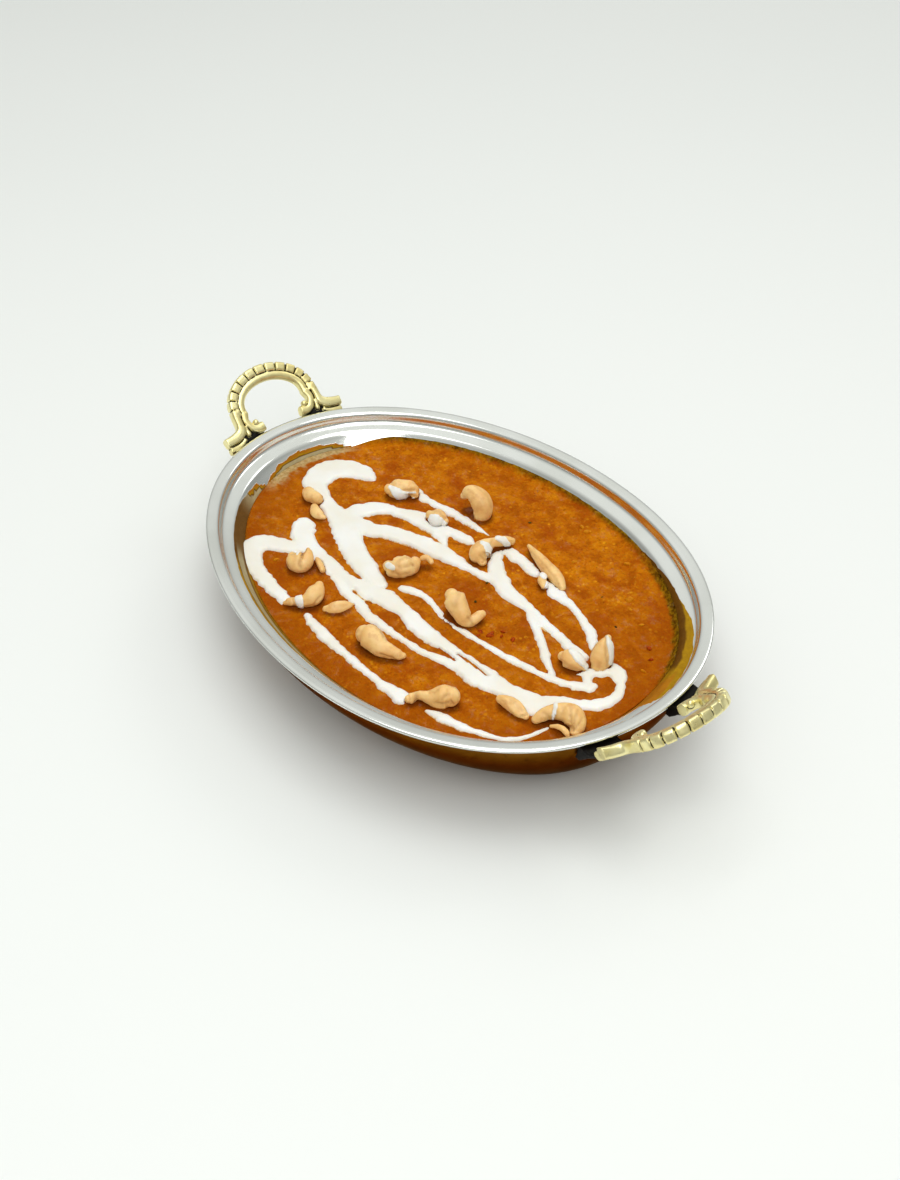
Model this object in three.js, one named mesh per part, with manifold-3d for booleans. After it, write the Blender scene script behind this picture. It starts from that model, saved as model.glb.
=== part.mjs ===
// A cashew curry in its oval serving dish: a stainless liner with a stepped rim, a copper jacket
// round it, a cast brass scroll handle at each end, and curry up to just below the rim step, with
// poured cream standing on it and cashews half sunk in it.
// Units are millimetres. +X runs along the dish, +Z is up, and z = 0 is the surface it stands on.

import * as THREE from 'three';
import Module from 'manifold-3d';
import { mergeVertices } from 'three/addons/utils/BufferGeometryUtils.js';

const wasm = await Module();
wasm.setup();

// ---- driving dimensions ----

const DISH_HEIGHT = 38;
const HALF_LENGTH = 110;      // rim, from the middle to the end
const HALF_WIDTH = 80.8;      // rim, from the middle to the side
const ROUNDNESS = 2.05;       // exponent of the oval: 2 is an ellipse, more is squarer
const EGG = 0.014;            // how much blunter the +X end is than the -X end
const RIM_SHIFT_X = 1;        // centres the dish with its handles on the origin
const SIDES = 44;             // facets round the oval

const SHEET = 1.1;            // thickness of both metal shells
const GAP = 0.35;             // between pieces that lie on or in each other
const WALL_CURVE = 1.7;       // exponent of the wall's inward sweep: 1 is a straight cone
const WALL_ROWS = 4;          // facets down each wall

const JACKET_TOP = { depth: 2.3, inset: 2.7 };
const JACKET_FOOT = { depth: DISH_HEIGHT - 0.8, insetX: 22.4, insetY: 32.8 };
const FOOT_ROUND = 3;         // width of the rounded edge of the foot

const LINER_SHOULDER = { depth: 11, inset: 14.5 };
const LINER_FLOOR = { depth: DISH_HEIGHT - 2 * SHEET - 2 * GAP, insetX: 28.5, insetY: 38.5 };

const CURRY_LEVEL = 27.4;     // height of its surface at the middle of the dish
const CURRY_SLOPE = 0.016;    // it stands this much higher towards +Y
const CREAM_RISE = 1.3;       // thickest cream

const HANDLE_TURN_X = 112;    // where along the dish a handle's turn about the vertical is centred
const HANDLE_TILT = 43;       // degrees
const HANDLE_THICKNESS = 4.6;
const CAST_DETAIL = 0.09;     // the cast handles carry no facets finer than this

// Where each handle stands: how far out its foot line is, its shift along the rim and its turn in
// degrees, its size, and how far the tips of its leaves bend in towards the dish and up.
const HANDLES = {
  handle_near: { end: 1, footX: 113.4, along: 1.7, turn: 2.8, size: 0.95, bendIn: 1.2, bendUp: 2.5 },
  handle_far: { end: -1, footX: 112, along: 0, turn: 0, size: 1, bendIn: 0, bendUp: 0 },
};
const BEND = { from: 15, over: 12 };  // the leaves bend from this far across, fully this much further

// The liner's rim as [inset from the outer edge, depth below the top]: a curled lip, a flat band,
// a step down to a ledge, and the shoulder where the wall starts.
const LINER_RIM = [
  [0.3, 1.9], [0, 0.9], [1.1, 0], [4.3, 0.6], [5.0, 1.3], [5.8, 4.0], [6.8, 5.1], [9.8, 6.2],
  [11.2, 7.3], [LINER_SHOULDER.inset, LINER_SHOULDER.depth],
];

// Each stroke of cream as [x, y, width] along its middle, chosen from how it was poured.
const CREAM_STROKES = {
  hook: [[-66, 13.5, 1.5], [-72, 13, 8.5], [-80, 8.5, 11.5], [-82.5, 1, 13.5], [-78.5, -6, 11],
    [-71, -8, 6], [-64, -10.5, 6.5], [-55, -11.5, 9]],
  pool: [[-53, -11, 11.5], [-43, -15, 11.5], [-32, -19.5, 9.5], [-20, -21.5, 9], [-11, -23, 6]],
  far_curl: [[-53, -9, 8], [-52.5, -3, 8.5], [-49, 4, 7], [-41, 9.5, 5.5], [-33, 13, 9],
    [-24, 15, 7.5], [-18, 17.5, 4.5], [-13, 18.5, 5.5], [-7.5, 19.8, 1]],
  far_drip: [[-26, 14.5, 7], [-19, 12.5, 4.5], [-14, 10.4, 1.5]],
  middle: [[-49, -9, 8], [-40, -6.5, 8.5], [-35, -2, 7.7], [-25, 2.5, 7.7], [-14, 5.8, 8.5],
    [-3, 8, 5.5], [4, 9.5, 4], [14, 12.5, 5]],
  inner_run: [[0, 24.5, 6], [5, 20, 5], [10, 16, 6.7], [21, 11.8, 7.3], [32, 12, 4.8],
    [43, 11.3, 4], [54, 10.6, 3.8], [65, 9.8, 5.5]],
  inner_fork: [[37, 10, 3], [50, 4.2, 3.1], [58, -0.2, 3.2], [66, -4, 2.4]],
  outer_start: [[2, 27, 5], [11, 27.3, 5.4], [20.5, 27, 4]],
  outer_run: [[27, 25.5, 4], [34, 25, 6], [42, 25.4, 3.2], [51, 23.2, 3.2], [58, 20.9, 4.6],
    [64.5, 16, 2.6]],
  far_line: [[-49, 20.5, 7], [-42, 22, 4.3], [-30, 24.8, 4], [-19, 26.3, 3.4], [-8.5, 27.5, 0.8]],
  near_middle: [[-4, -17.5, 3], [0, -15.5, 4.2], [6, -13.6, 2.5], [20, -15.3, 3], [37, -13.3, 2.8],
    [53, -9.6, 2.9], [69, -4.9, 3.3], [76, -0.5, 4.2], [79, 3, 4.3]],
  near_link: [[72, 6.5, 4], [79, 1.5, 3.5]],
  long_run: [[-43, -31, 7], [-34, -32.2, 9], [-23, -30.5, 5.4], [-9, -27.8, 7.5], [-2, -25.3, 8.8],
    [6, -24.7, 6.5], [21, -25.4, 7.6], [33, -24, 5.4], [46, -23.2, 6.5]],
  long_fork: [[-24, -33.2, 4.5], [-13, -35, 4.3], [3, -36, 4.7], [17, -34.3, 2.8],
    [29, -32.2, 3.4], [43, -27.2, 4.6]],
  near_loop: [[41, -25.5, 7], [50, -24.2, 10.5], [60, -22, 7.5], [67, -19.5, 7], [74, -18.2, 10.5],
    [78, -10.5, 5], [85.5, -4, 5], [88, 2.5, 5], [84.5, 11, 4], [77.5, 14, 6.8], [74, 8, 5],
    [71, 2.7, 1]],
  near_line: [[-13, -53.5, 2.5], [-6, -54.6, 4.4], [10, -54.5, 3.6], [29, -53.4, 3.2],
    [43, -51.5, 6]],
  rim_line: [[53, -48.6, 1.2], [58, -47, 3.8], [71, -41.8, 2.8], [81.5, -34.5, 2.2],
    [84.8, -22, 1.3]],
  left_loop: [[-46, -33, 6], [-53, -38.8, 8.2], [-58.5, -43, 9], [-59, -48, 10.3], [-51, -53.3, 8],
    [-38, -55, 6.3], [-24.5, -55.2, 5]],
  knob: [[-61, -24, 4], [-57.5, -26, 9], [-52.5, -29.5, 9.7], [-44.5, -31.8, 7]],
};

// Each cashew as [x, y, height above the curry] at its two ends and its middle, with its radius
// there. "flat" is its thickness over its width: whole kernels are nearly round, halves are flat.
const CASHEWS = {
  cashew_hook_upper: { from: [-73.6, -13.3, 2], mid: [-70.4, -14, 2.6], to: [-67.2, -13.2, 2.2],
    radii: [2.4, 2.8, 2.4], flat: 0.8 },
  cashew_hook_lower: { from: [-63.8, -16.7, 1.2], mid: [-60.3, -17.6, 1.6], to: [-56.8, -17.2, 1.2],
    radii: [1.8, 2.2, 1.6], flat: 0.8 },
  cashew_creamed_far: { from: [-51.2, 13.4, 2.6], mid: [-50.8, 16.5, 3.2], to: [-46.8, 17.8, 2.6],
    radii: [3.6, 4.2, 3.6], flat: 0.85 },
  cashew_standing: { from: [-28.6, 29.5, 8.2], mid: [-21, 33.4, 6.4], to: [-19.8, 32.3, 1.2],
    radii: [2.4, 4.1, 3.1], flat: 0.85 },
  cashew_creamed_small: { from: [-29.6, 15, 2.2], mid: [-27.4, 16.5, 3], to: [-24.8, 17.6, 2.2],
    radii: [3.1, 3.8, 3.1], flat: 0.9 },
  cashew_arched: { from: [2.4, 14.3, 3], mid: [-0.2, 21, 4.2], to: [2.4, 28.2, 2.2],
    radii: [4.1, 3.7, 2.8], flat: 0.85 },
  cashew_sliver: { from: [8.5, 34.4, 2.2], mid: [21.2, 32.6, 3], to: [32.2, 28.9, 2],
    radii: [1, 2, 1.6], flat: 1.1 },
  cashew_sliver_bit: { from: [24.6, 25.6, 1.6], mid: [27.3, 24.4, 1.8], to: [29.9, 23.2, 1.5],
    radii: [1.7, 1.9, 1.5], flat: 0.8 },
  cashew_split: { from: [-12.8, -14.7, 2.6], mid: [-11.4, -11.8, 3.2], to: [-11, -8.6, 2.8],
    radii: [3.3, 4.1, 3.4], flat: 0.85 },
  cashew_curled_bit: { from: [-9.6, -3.9, 3.8], mid: [-8.6, -2.4, 4], to: [-6.4, -2, 3.2],
    radii: [1, 1.1, 0.9], flat: 0.8 },
  cashew_left_round: { from: [-40.6, -41.5, 2.8], mid: [-37, -41.2, 3.2], to: [-37.6, -37.6, 4],
    radii: [3, 4, 2.9], flat: 0.9 },
  cashew_left_slice: { from: [-36, -33.6, 1.2], mid: [-32.9, -34.6, 1.6], to: [-29.6, -35.6, 1.2],
    radii: [1, 1.3, 1], flat: 1.4 },
  cashew_left_bent: { from: [-22.2, -56.7, 0.9], mid: [-17.5, -51.4, 2.4], to: [-18.2, -44.7, 4.2],
    radii: [1.8, 2.9, 2.6], flat: 0.9 },
  cashew_flat_half: { from: [-9.9, -46.1, 0.9], mid: [-8.4, -43.1, 1.1], to: [-7.7, -39, 0.8],
    radii: [2.3, 2.7, 1.3], flat: 0.7 },
  cashew_large: { from: [13.7, -45.1, 3.4], mid: [20.6, -43.6, 3.4], to: [26.3, -40.2, 2.4],
    radii: [4.8, 3.7, 2.4], flat: 0.85 },
  cashew_propped: { from: [19.8, -11, 7], mid: [25.6, -12.2, 3.2], to: [29.1, -7.1, 2.8],
    radii: [4.2, 3.4, 2.3], flat: 0.85 },
  cashew_knobby: { from: [46.2, -51.2, 1.8], mid: [48.8, -47.2, 2.2], to: [53.4, -42.4, 3.4],
    radii: [2.6, 2.2, 4.3], flat: 0.85 },
  cashew_near_piece: { from: [65.9, -28.2, 1.1], mid: [70.2, -27.2, 1.3], to: [75.6, -27, 0.9],
    radii: [1.7, 2.4, 1.3], flat: 0.7 },
  cashew_right_round: { from: [63.6, 2.6, 2.4], mid: [66.3, 3, 3], to: [68.2, 4.8, 2.6],
    radii: [3.1, 3.9, 3], flat: 0.9 },
  cashew_right_upright: { from: [72.4, 10.8, 1.6], mid: [72.8, 12.8, 4.4], to: [72, 16, 8],
    radii: [2.9, 3.5, 1.9], flat: 0.8 },
  cashew_crescent: { from: [80.5, -22.8, 2.2], mid: [84.4, -15.6, 5.3], to: [90.2, -15.2, 3.4],
    radii: [2.9, 3.3, 4.2], flat: 0.85 },
  cashew_crescent_bit: { from: [86.2, -22.4, 1.1], mid: [88, -22.8, 1.5], to: [89.8, -22.4, 1.1],
    radii: [0.9, 1.1, 0.9], flat: 0.8 },
};

// ---- materials ----

const steel = new THREE.MeshStandardMaterial({ color: 0xc9cbca, roughness: 0.25, metalness: 1 });
const copper = new THREE.MeshStandardMaterial({ color: 0x6e3a24, roughness: 0.35, metalness: 1 });
const brass = new THREE.MeshStandardMaterial({ color: 0xd2bf6e, roughness: 0.4, metalness: 1 });
const curry = new THREE.MeshStandardMaterial({ color: 0xb4610f, roughness: 0.45, metalness: 0 });
const cashew = new THREE.MeshStandardMaterial({ color: 0xdda85c, roughness: 0.5, metalness: 0 });

// ---- geometry helpers ----

// A closed skin over a row of rings with the same number of points, each end closed to its middle.
function skin(rings) {
  const around = rings[0].length;
  const points = rings.flat();
  const index = [];
  for (let r = 0; r < rings.length - 1; r += 1) {
    for (let i = 0; i < around; i += 1) {
      const a = r * around + i;
      const b = r * around + ((i + 1) % around);
      index.push(a, b, b + around, a, b + around, a + around);
    }
  }
  for (const [ring, start, turn] of [[rings[0], 0, -1], [rings.at(-1), (rings.length - 1) * around, 1]]) {
    const middle = ring.reduce((sum, p) => sum.add(p), new THREE.Vector3()).divideScalar(around);
    const hub = points.push(middle) - 1;
    for (let i = 0; i < around; i += 1) {
      const a = start + i;
      const b = start + ((i + 1) % around);
      index.push(...(turn > 0 ? [hub, a, b] : [hub, b, a]));
    }
  }
  const geometry = new THREE.BufferGeometry().setFromPoints(points);
  geometry.setIndex(signedVolume(points, index) < 0 ? index.reverse() : index);
  return geometry;
}

function signedVolume(points, index) {
  let volume = 0;
  for (let i = 0; i < index.length; i += 3) {
    const [a, b, c] = [points[index[i]], points[index[i + 1]], points[index[i + 2]]];
    volume += a.dot(b.clone().cross(c)) / 6;
  }
  return volume;
}

// The outline of a round section with half sizes of 1.
function round(sides) {
  const outline = [];
  for (let i = 0; i < sides; i += 1) {
    const turn = (2 * Math.PI * (i + 0.5)) / sides;
    outline.push([Math.cos(turn), Math.sin(turn)]);
  }
  return outline;
}

// A limb along a row of stations {at, side, up, width, height}, where side and up are the
// section's axes and width and height its half sizes.
function limb(stations, outline) {
  return skin(stations.map(({ at, side, up, width, height }) => outline.map(([across, high]) => (
    at.clone().addScaledVector(side, across * width).addScaledVector(up, high * height)))));
}

function toSolid(geometry) {
  const bare = geometry.clone();
  bare.deleteAttribute('normal');
  bare.deleteAttribute('uv');
  const merged = mergeVertices(bare);
  return new wasm.Manifold(new wasm.Mesh({
    numProp: 3,
    vertProperties: new Float32Array(merged.attributes.position.array),
    triVerts: new Uint32Array(merged.index.array),
  }));
}

function toGeometry(solid) {
  const mesh = solid.getMesh();
  const geometry = new THREE.BufferGeometry();
  geometry.setAttribute('position', new THREE.BufferAttribute(new Float32Array(mesh.vertProperties), 3));
  geometry.setIndex(new THREE.BufferAttribute(new Uint32Array(mesh.triVerts), 1));
  geometry.computeVertexNormals();
  return geometry;
}

const joined = (solids) => solids.reduce((whole, solid) => whole.add(solid));

// ---- the oval and its walls ----

const power = (value, exponent) => Math.sign(value) * Math.abs(value) ** exponent;

function ovalPoint(angle, insetX, insetY, z) {
  const grow = 1 - EGG * Math.cos(3 * angle);
  const x = (HALF_LENGTH - insetX) * power(Math.cos(angle), 2 / ROUNDNESS) * grow + RIM_SHIFT_X;
  const y = (HALF_WIDTH - insetY) * power(Math.sin(angle), 2 / ROUNDNESS) * grow;
  return new THREE.Vector3(x, y, z);
}

function ovalRing({ depth, insetX, insetY }) {
  const ring = [];
  for (let i = 0; i < SIDES; i += 1) {
    ring.push(ovalPoint((2 * Math.PI * i) / SIDES, insetX, insetY, DISH_HEIGHT - depth));
  }
  return ring;
}

// Insets of a wall that sweeps inwards from its top to its foot, at a depth between them.
function wallRow(depth, top, foot) {
  const sweep = ((depth - top.depth) / (foot.depth - top.depth)) ** WALL_CURVE;
  return {
    depth,
    insetX: THREE.MathUtils.lerp(top.inset, foot.insetX, sweep),
    insetY: THREE.MathUtils.lerp(top.inset, foot.insetY, sweep),
  };
}

function wallRows(top, foot, count) {
  const rows = [];
  for (let i = 1; i <= count; i += 1) {
    rows.push(wallRow(THREE.MathUtils.lerp(top.depth, foot.depth, i / count), top, foot));
  }
  return rows;
}

// The same wall moved sideways across its own slope, inwards when the distance is positive.
function offsetRows(rows, distance) {
  return rows.map((row, i) => {
    const before = rows[Math.max(i - 1, 0)];
    const after = rows[Math.min(i + 1, rows.length - 1)];
    const fall = after.depth - before.depth;
    const slopeX = Math.atan2(after.insetX - before.insetX, fall);
    const slopeY = Math.atan2(after.insetY - before.insetY, fall);
    return {
      depth: row.depth - distance * Math.sin((slopeX + slopeY) / 2),
      insetX: row.insetX + distance * Math.cos(slopeX),
      insetY: row.insetY + distance * Math.cos(slopeY),
    };
  });
}

const LINER_INSIDE = [
  ...LINER_RIM.map(([inset, depth]) => ({ depth, insetX: inset, insetY: inset })),
  ...wallRows(LINER_SHOULDER, LINER_FLOOR, WALL_ROWS),
];

function liner() {
  const [curlEnd, , top] = LINER_INSIDE;
  const curl = { depth: curlEnd.depth, insetX: SHEET, insetY: SHEET };
  const outside = offsetRows(LINER_INSIDE.slice(LINER_INSIDE.indexOf(top)), -SHEET);
  outside.at(-1).depth = LINER_FLOOR.depth + SHEET;
  return skin([...LINER_INSIDE.toReversed(), curl, ...outside].map(ovalRing));
}

function jacket() {
  const top = { depth: JACKET_TOP.depth, insetX: JACKET_TOP.inset, insetY: JACKET_TOP.inset };
  const outside = [top, ...wallRows(JACKET_TOP, JACKET_FOOT, WALL_ROWS)];
  const inside = offsetRows(outside, SHEET);
  inside.at(-1).depth = DISH_HEIGHT - SHEET;
  const foot = outside.at(-1);
  outside.push({
    depth: DISH_HEIGHT, insetX: foot.insetX + FOOT_ROUND, insetY: foot.insetY + FOOT_ROUND,
  });
  return skin([...inside.toReversed(), ...outside].map(ovalRing));
}

// ---- curry and cream ----

const curryHeight = (y) => CURRY_LEVEL + CURRY_SLOPE * y;

// The dish's hollow up to the ledge, less a gap all round.
function hollow() {
  const rows = offsetRows(LINER_INSIDE.slice(-2 - WALL_ROWS), GAP);
  rows.at(-1).depth = LINER_FLOOR.depth - GAP;
  return skin(rows.map(ovalRing));
}

// A block with the curry's surface as its top, larger than the dish.
function level() {
  const block = new THREE.BoxGeometry(4 * HALF_LENGTH, 4 * HALF_WIDTH, 2 * DISH_HEIGHT);
  block.translate(0, 0, -DISH_HEIGHT);
  block.rotateX(Math.atan(CURRY_SLOPE));
  block.translate(0, 0, CURRY_LEVEL);
  return block;
}

// Cream stands on the curry with a flat top and sloping edges.
const CREAM_SECTION = [[1, -0.8], [0.75, 1], [-0.75, 1], [-1, -0.8]];

// A stroke of cream laid along a smooth curve, its underside sunk in the curry.
function creamStroke(places) {
  const path = new THREE.CatmullRomCurve3(places.map(([x, y, width]) => new THREE.Vector3(x, y, width)));
  const steps = Math.round(places.length * 1.5);
  const up = new THREE.Vector3(0, 0, 1);
  const stations = [];
  for (let i = 0; i <= steps; i += 1) {
    const { x, y, z: width } = path.getPoint(i / steps);
    const ahead = path.getTangent(i / steps);
    const side = new THREE.Vector3(-ahead.y, ahead.x, 0).normalize();
    stations.push({
      at: new THREE.Vector3(x, y, curryHeight(y) - 0.1),
      side,
      up,
      width: width / 2,
      height: Math.min(CREAM_RISE, 0.5 + width / 8),
    });
  }
  return limb(stations, CREAM_SECTION);
}

// ---- cashews ----

// A kernel swept along the curve through its two ends and middle, with rounded ends. "grow" makes
// it larger all round.
function kernel({ from, mid, to, radii, flat }, grow = 0) {
  const [start, middle, end] = [from, mid, to].map(([x, y, rise]) => (
    new THREE.Vector3(x, y, curryHeight(y) + rise)));
  const pull = middle.clone().multiplyScalar(2).sub(start.clone().add(end).multiplyScalar(0.5));
  const path = new THREE.QuadraticBezierCurve3(start, pull, end);
  const across = middle.clone().sub(start).cross(end.clone().sub(middle));
  if (across.length() < 0.5) across.set(0, 0, 1);
  across.normalize();
  const stationAt = (t, beyond, shrink) => {
    const ahead = path.getTangent(t);
    const width = (radii[0] * (1 - t) * (1 - 2 * t) + radii[1] * 4 * t * (1 - t)
      + radii[2] * t * (2 * t - 1) + grow);
    return {
      at: path.getPoint(t).addScaledVector(ahead, beyond * width),
      side: across.clone().cross(ahead).normalize(),
      up: across,
      width: width * shrink,
      height: width * shrink * flat,
    };
  };
  const roundEnd = [[0.95, 0.3], [0.6, 0.8]];
  const stations = [
    ...roundEnd.map(([beyond, shrink]) => stationAt(0, -beyond, shrink)),
    ...[0, 1 / 3, 2 / 3, 1].map((t) => stationAt(t, 0, 1)),
    ...roundEnd.toReversed().map(([beyond, shrink]) => stationAt(1, beyond, shrink)),
  ];
  return limb(stations, round(6));
}

// ---- handles ----

// A handle lies in its own plane: x runs out from the foot line, y across, z through it.
const IN_PLANE = new THREE.Vector3(0, 0, 1);

// A bar in the handle's plane along [out, across, half width] places, with its half thickness and
// how far it is raised through the plane.
function bar(places, halfThickness, sides, steps, lift = 0) {
  const path = new THREE.CatmullRomCurve3(places.map(([out, across, half]) => (
    new THREE.Vector3(out, across, half))));
  const stations = [];
  for (let i = 0; i <= steps; i += 1) {
    const { x, y, z: half } = path.getPoint(i / steps);
    const ahead = path.getTangent(i / steps);
    stations.push({
      at: new THREE.Vector3(x, y, lift),
      side: new THREE.Vector3(-ahead.y, ahead.x, 0).normalize(),
      up: IN_PLANE,
      width: half,
      height: halfThickness,
    });
  }
  return limb(stations, round(sides));
}

// The arch: two bands side by side round an oval arc about a point out from the foot line. The
// inner band is plain and the outer one is a row of cast beads, each pinched at both ends.
const ARCH = {
  out: 9.5,
  swing: THREE.MathUtils.degToRad(100),
  plain: { halfWidth: 14.9, rise: 10.3 },
  beaded: { halfWidth: 18.1, rise: 13.7 },
  beads: 13,
};
const BEAD_PROFILE = [[0, 0.72], [0.22, 1], [0.78, 1]];

// One section across both bands: each point is [0 for plain or 1 for beaded, how far out from
// that band's middle, half thickness].
const ARCH_SECTION = [[0, -1.9, 0.9], [0, 0, 1.9], [0, 1.75, 1.2], [1, 0, 2.3], [1, 2, 1]];

function archRing(turn, beadSize) {
  const [plain, beaded] = [ARCH.plain, ARCH.beaded].map(({ halfWidth, rise }) => (
    new THREE.Vector3(ARCH.out + rise * Math.cos(turn), halfWidth * Math.sin(turn), 0)));
  const outwards = beaded.clone().sub(plain).normalize();
  const upper = ARCH_SECTION.map(([band, out, half]) => {
    const size = band === 1 ? beadSize : 1;
    const point = (band === 1 ? beaded : plain).clone().addScaledVector(outwards, out * size);
    return point.setZ(half * size);
  });
  const lower = upper.toReversed().map((point) => point.clone().setZ(-point.z));
  return [...upper, ...lower];
}

function arch() {
  const rings = [];
  for (let bead = 0; bead < ARCH.beads; bead += 1) {
    for (const [t, size] of BEAD_PROFILE) {
      const turn = THREE.MathUtils.lerp(-ARCH.swing, ARCH.swing, (bead + t) / ARCH.beads);
      rings.push(archRing(turn, size));
    }
  }
  rings.push(archRing(ARCH.swing, BEAD_PROFILE[0][1]));
  return skin(rings);
}

const mirrored = (places, mirror) => places.map(([out, across, half]) => [out, across * mirror, half]);

// One foot, on the +Y side or its mirror image: a leg that bends into a leaf with a blunt end and a
// lip below it, a bud, and an inner scroll that stops bluntly under a ball.
function foot(mirror) {
  const leaf = [[11, 18.1, 1.9], [4.7, 18.9, 1.6], [0.9, 20.4, 2.2], [-0.6, 24.6, 2.2], [-0.9, 27.7, 2]];
  const lip = [[-1.6, 18.6, 0.6], [-3.8, 22.8, 1.4], [-3.8, 27, 2]];
  const bud = [[3.4, 16.8, 0.4], [0.6, 16.8, 1.1], [-1.6, 17, 0.9]];
  const scroll = [[9.6, 14.2, 2], [5, 15.6, 1.6], [0.9, 13.4, 1.7], [0.8, 9, 2.1]];
  const ball = new THREE.SphereGeometry(1.5, 6, 4);
  ball.translate(3.2, 11.8 * mirror, 0.9);
  return [
    bar(mirrored(leaf, mirror), HANDLE_THICKNESS / 2, 6, 5),
    bar(mirrored(lip, mirror), 1.8, 5, 3, -0.5),
    bar(mirrored(bud, mirror), 1.9, 5, 3),
    bar(mirrored(scroll, mirror), HANDLE_THICKNESS / 2 - 0.1, 5, 6),
    ball,
  ];
}

// The thin web along one foot's underside, which the foot's plate starts from.
function web(mirror) {
  const places = [[-0.5, 9.5, 1], [-1.3, 17, 2.4], [-2.6, 21, 1.5], [-3.5, 24.5, 1.2]];
  return bar(mirrored(places, mirror), 1, 4, 3, -0.9);
}

// A handle's flat geometry moved to where the handle stands.
function raised(geometry, { end, footX, along, turn, size, bendIn, bendUp }) {
  const moved = geometry.clone();
  moved.scale(size, size, size);
  moved.rotateY(-THREE.MathUtils.degToRad(HANDLE_TILT));
  moved.translate(footX - HANDLE_TURN_X, 0, DISH_HEIGHT);
  const at = moved.attributes.position;
  for (let i = 0; i < at.count; i += 1) {
    const bend = (Math.max(Math.abs(at.getY(i)) - BEND.from, 0) / BEND.over) ** 2;
    at.setXYZ(i, at.getX(i) - bendIn * bend, at.getY(i) + along, at.getZ(i) + bendUp * bend);
  }
  moved.rotateZ(THREE.MathUtils.degToRad(turn));
  moved.translate(HANDLE_TURN_X, 0, 0);
  if (end < 0) moved.rotateZ(Math.PI);
  return moved;
}

// The pad that carries one foot: a wedge on the jacket's wall, under the lip. Each row is
// [depth, how far past the rim].
const PAD = { rows: [[2.6, 2.8], [5, 2], [8.5, -1.5]], from: 12, to: 25, steps: 4 };

function padEdge(end, mirror, depth, inset) {
  const points = [];
  for (let i = 0; i <= PAD.steps; i += 1) {
    const across = THREE.MathUtils.lerp(PAD.from, PAD.to, i / PAD.steps);
    const angle = Math.asin(power(across / HALF_WIDTH, ROUNDNESS / 2));
    const point = ovalPoint(end > 0 ? angle : Math.PI - angle, inset, inset, DISH_HEIGHT - depth);
    points.push(point.setY(across * mirror));
  }
  return points;
}

function pad(end, mirror) {
  return skin(PAD.rows.map(([depth, outset]) => {
    const wall = wallRow(depth, JACKET_TOP, JACKET_FOOT);
    const inner = padEdge(end, mirror, depth, wall.insetX - GAP).reverse();
    return [...padEdge(end, mirror, depth, -outset), ...inner];
  }));
}

// The plate between one foot's web and its pad: the tightest skin round the web and the pad's face.
function plate(place, mirror) {
  const face = PAD.rows.slice(0, 2).flatMap(([depth, outset]) => (
    padEdge(place.end, mirror, depth, -outset)));
  return wasm.Manifold.hull([toSolid(raised(web(mirror), place)), ...face.map((p) => p.toArray())]);
}

// The dish's outline a gap wider than the lip, from just under the lip to above the handles, which
// keeps every foot clear of the lip.
function lipClearance() {
  const rows = [{ depth: JACKET_TOP.depth, insetX: -GAP, insetY: -GAP }];
  rows.push({ ...rows[0], depth: -DISH_HEIGHT });
  return toSolid(skin(rows.map(ovalRing)));
}

function handle(place) {
  const flat = joined([arch(), ...foot(1), ...foot(-1)].map(toSolid));
  const pieces = [toSolid(raised(toGeometry(flat), place))];
  for (const mirror of [1, -1]) {
    pieces.push(plate(place, mirror), toSolid(pad(place.end, mirror)));
  }
  return toGeometry(joined(pieces).subtract(lipClearance()).simplify(CAST_DETAIL));
}

// ---- assembly ----

const part = new THREE.Group();

function addPiece(name, geometry, material) {
  const mesh = new THREE.Mesh(geometry, material);
  mesh.name = name;
  part.add(mesh);
}

addPiece('steel_liner', liner(), steel);
addPiece('copper_jacket', jacket(), copper);
for (const [name, place] of Object.entries(HANDLES)) {
  addPiece(name, handle(place), brass);
}

const kernels = Object.entries(CASHEWS);
const strokes = Object.values(CREAM_STROKES).map((places) => toSolid(creamStroke(places)));
const poured = joined([toSolid(level()), ...strokes]).intersect(toSolid(hollow()));
const contents = kernels.reduce((solid, [, nut]) => solid.subtract(toSolid(kernel(nut, GAP))), poured);
addPiece('curry', toGeometry(contents), curry);
for (const [name, nut] of kernels) {
  addPiece(name, kernel(nut), cashew);
}

export default part;
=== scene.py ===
"""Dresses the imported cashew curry: the steel liner, copper jacket, brass handles, curry, cream,
cashews and small bits of the photograph. Lengths are in millimetres until a mesh is made."""

import functools
import math

import bmesh
import bpy
import numpy as np
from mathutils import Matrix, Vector
from mathutils.bvhtree import BVHTree


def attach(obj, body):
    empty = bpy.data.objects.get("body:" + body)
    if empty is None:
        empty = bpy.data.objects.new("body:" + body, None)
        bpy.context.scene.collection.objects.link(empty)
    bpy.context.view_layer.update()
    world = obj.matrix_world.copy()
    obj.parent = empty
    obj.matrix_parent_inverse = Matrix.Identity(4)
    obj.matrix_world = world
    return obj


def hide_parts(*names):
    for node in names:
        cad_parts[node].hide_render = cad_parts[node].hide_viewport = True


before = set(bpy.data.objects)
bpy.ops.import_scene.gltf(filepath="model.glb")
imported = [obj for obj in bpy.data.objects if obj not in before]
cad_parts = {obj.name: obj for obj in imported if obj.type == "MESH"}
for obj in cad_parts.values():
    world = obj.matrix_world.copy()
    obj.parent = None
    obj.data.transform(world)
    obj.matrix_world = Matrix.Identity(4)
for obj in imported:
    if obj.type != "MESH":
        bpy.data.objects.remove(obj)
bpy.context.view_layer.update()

MM = 0.001

# ---- the dish's sizes, as in the CAD model ----

DISH_HEIGHT = 38.0
HALF_LENGTH, HALF_WIDTH = 110.0, 80.8
ROUNDNESS, EGG, RIM_SHIFT_X = 2.05, 0.014, 1.0
SHEET, GAP = 1.1, 0.35
WALL_CURVE = 1.7
CURRY_LEVEL, CURRY_SLOPE = 27.4, 0.016
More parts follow.
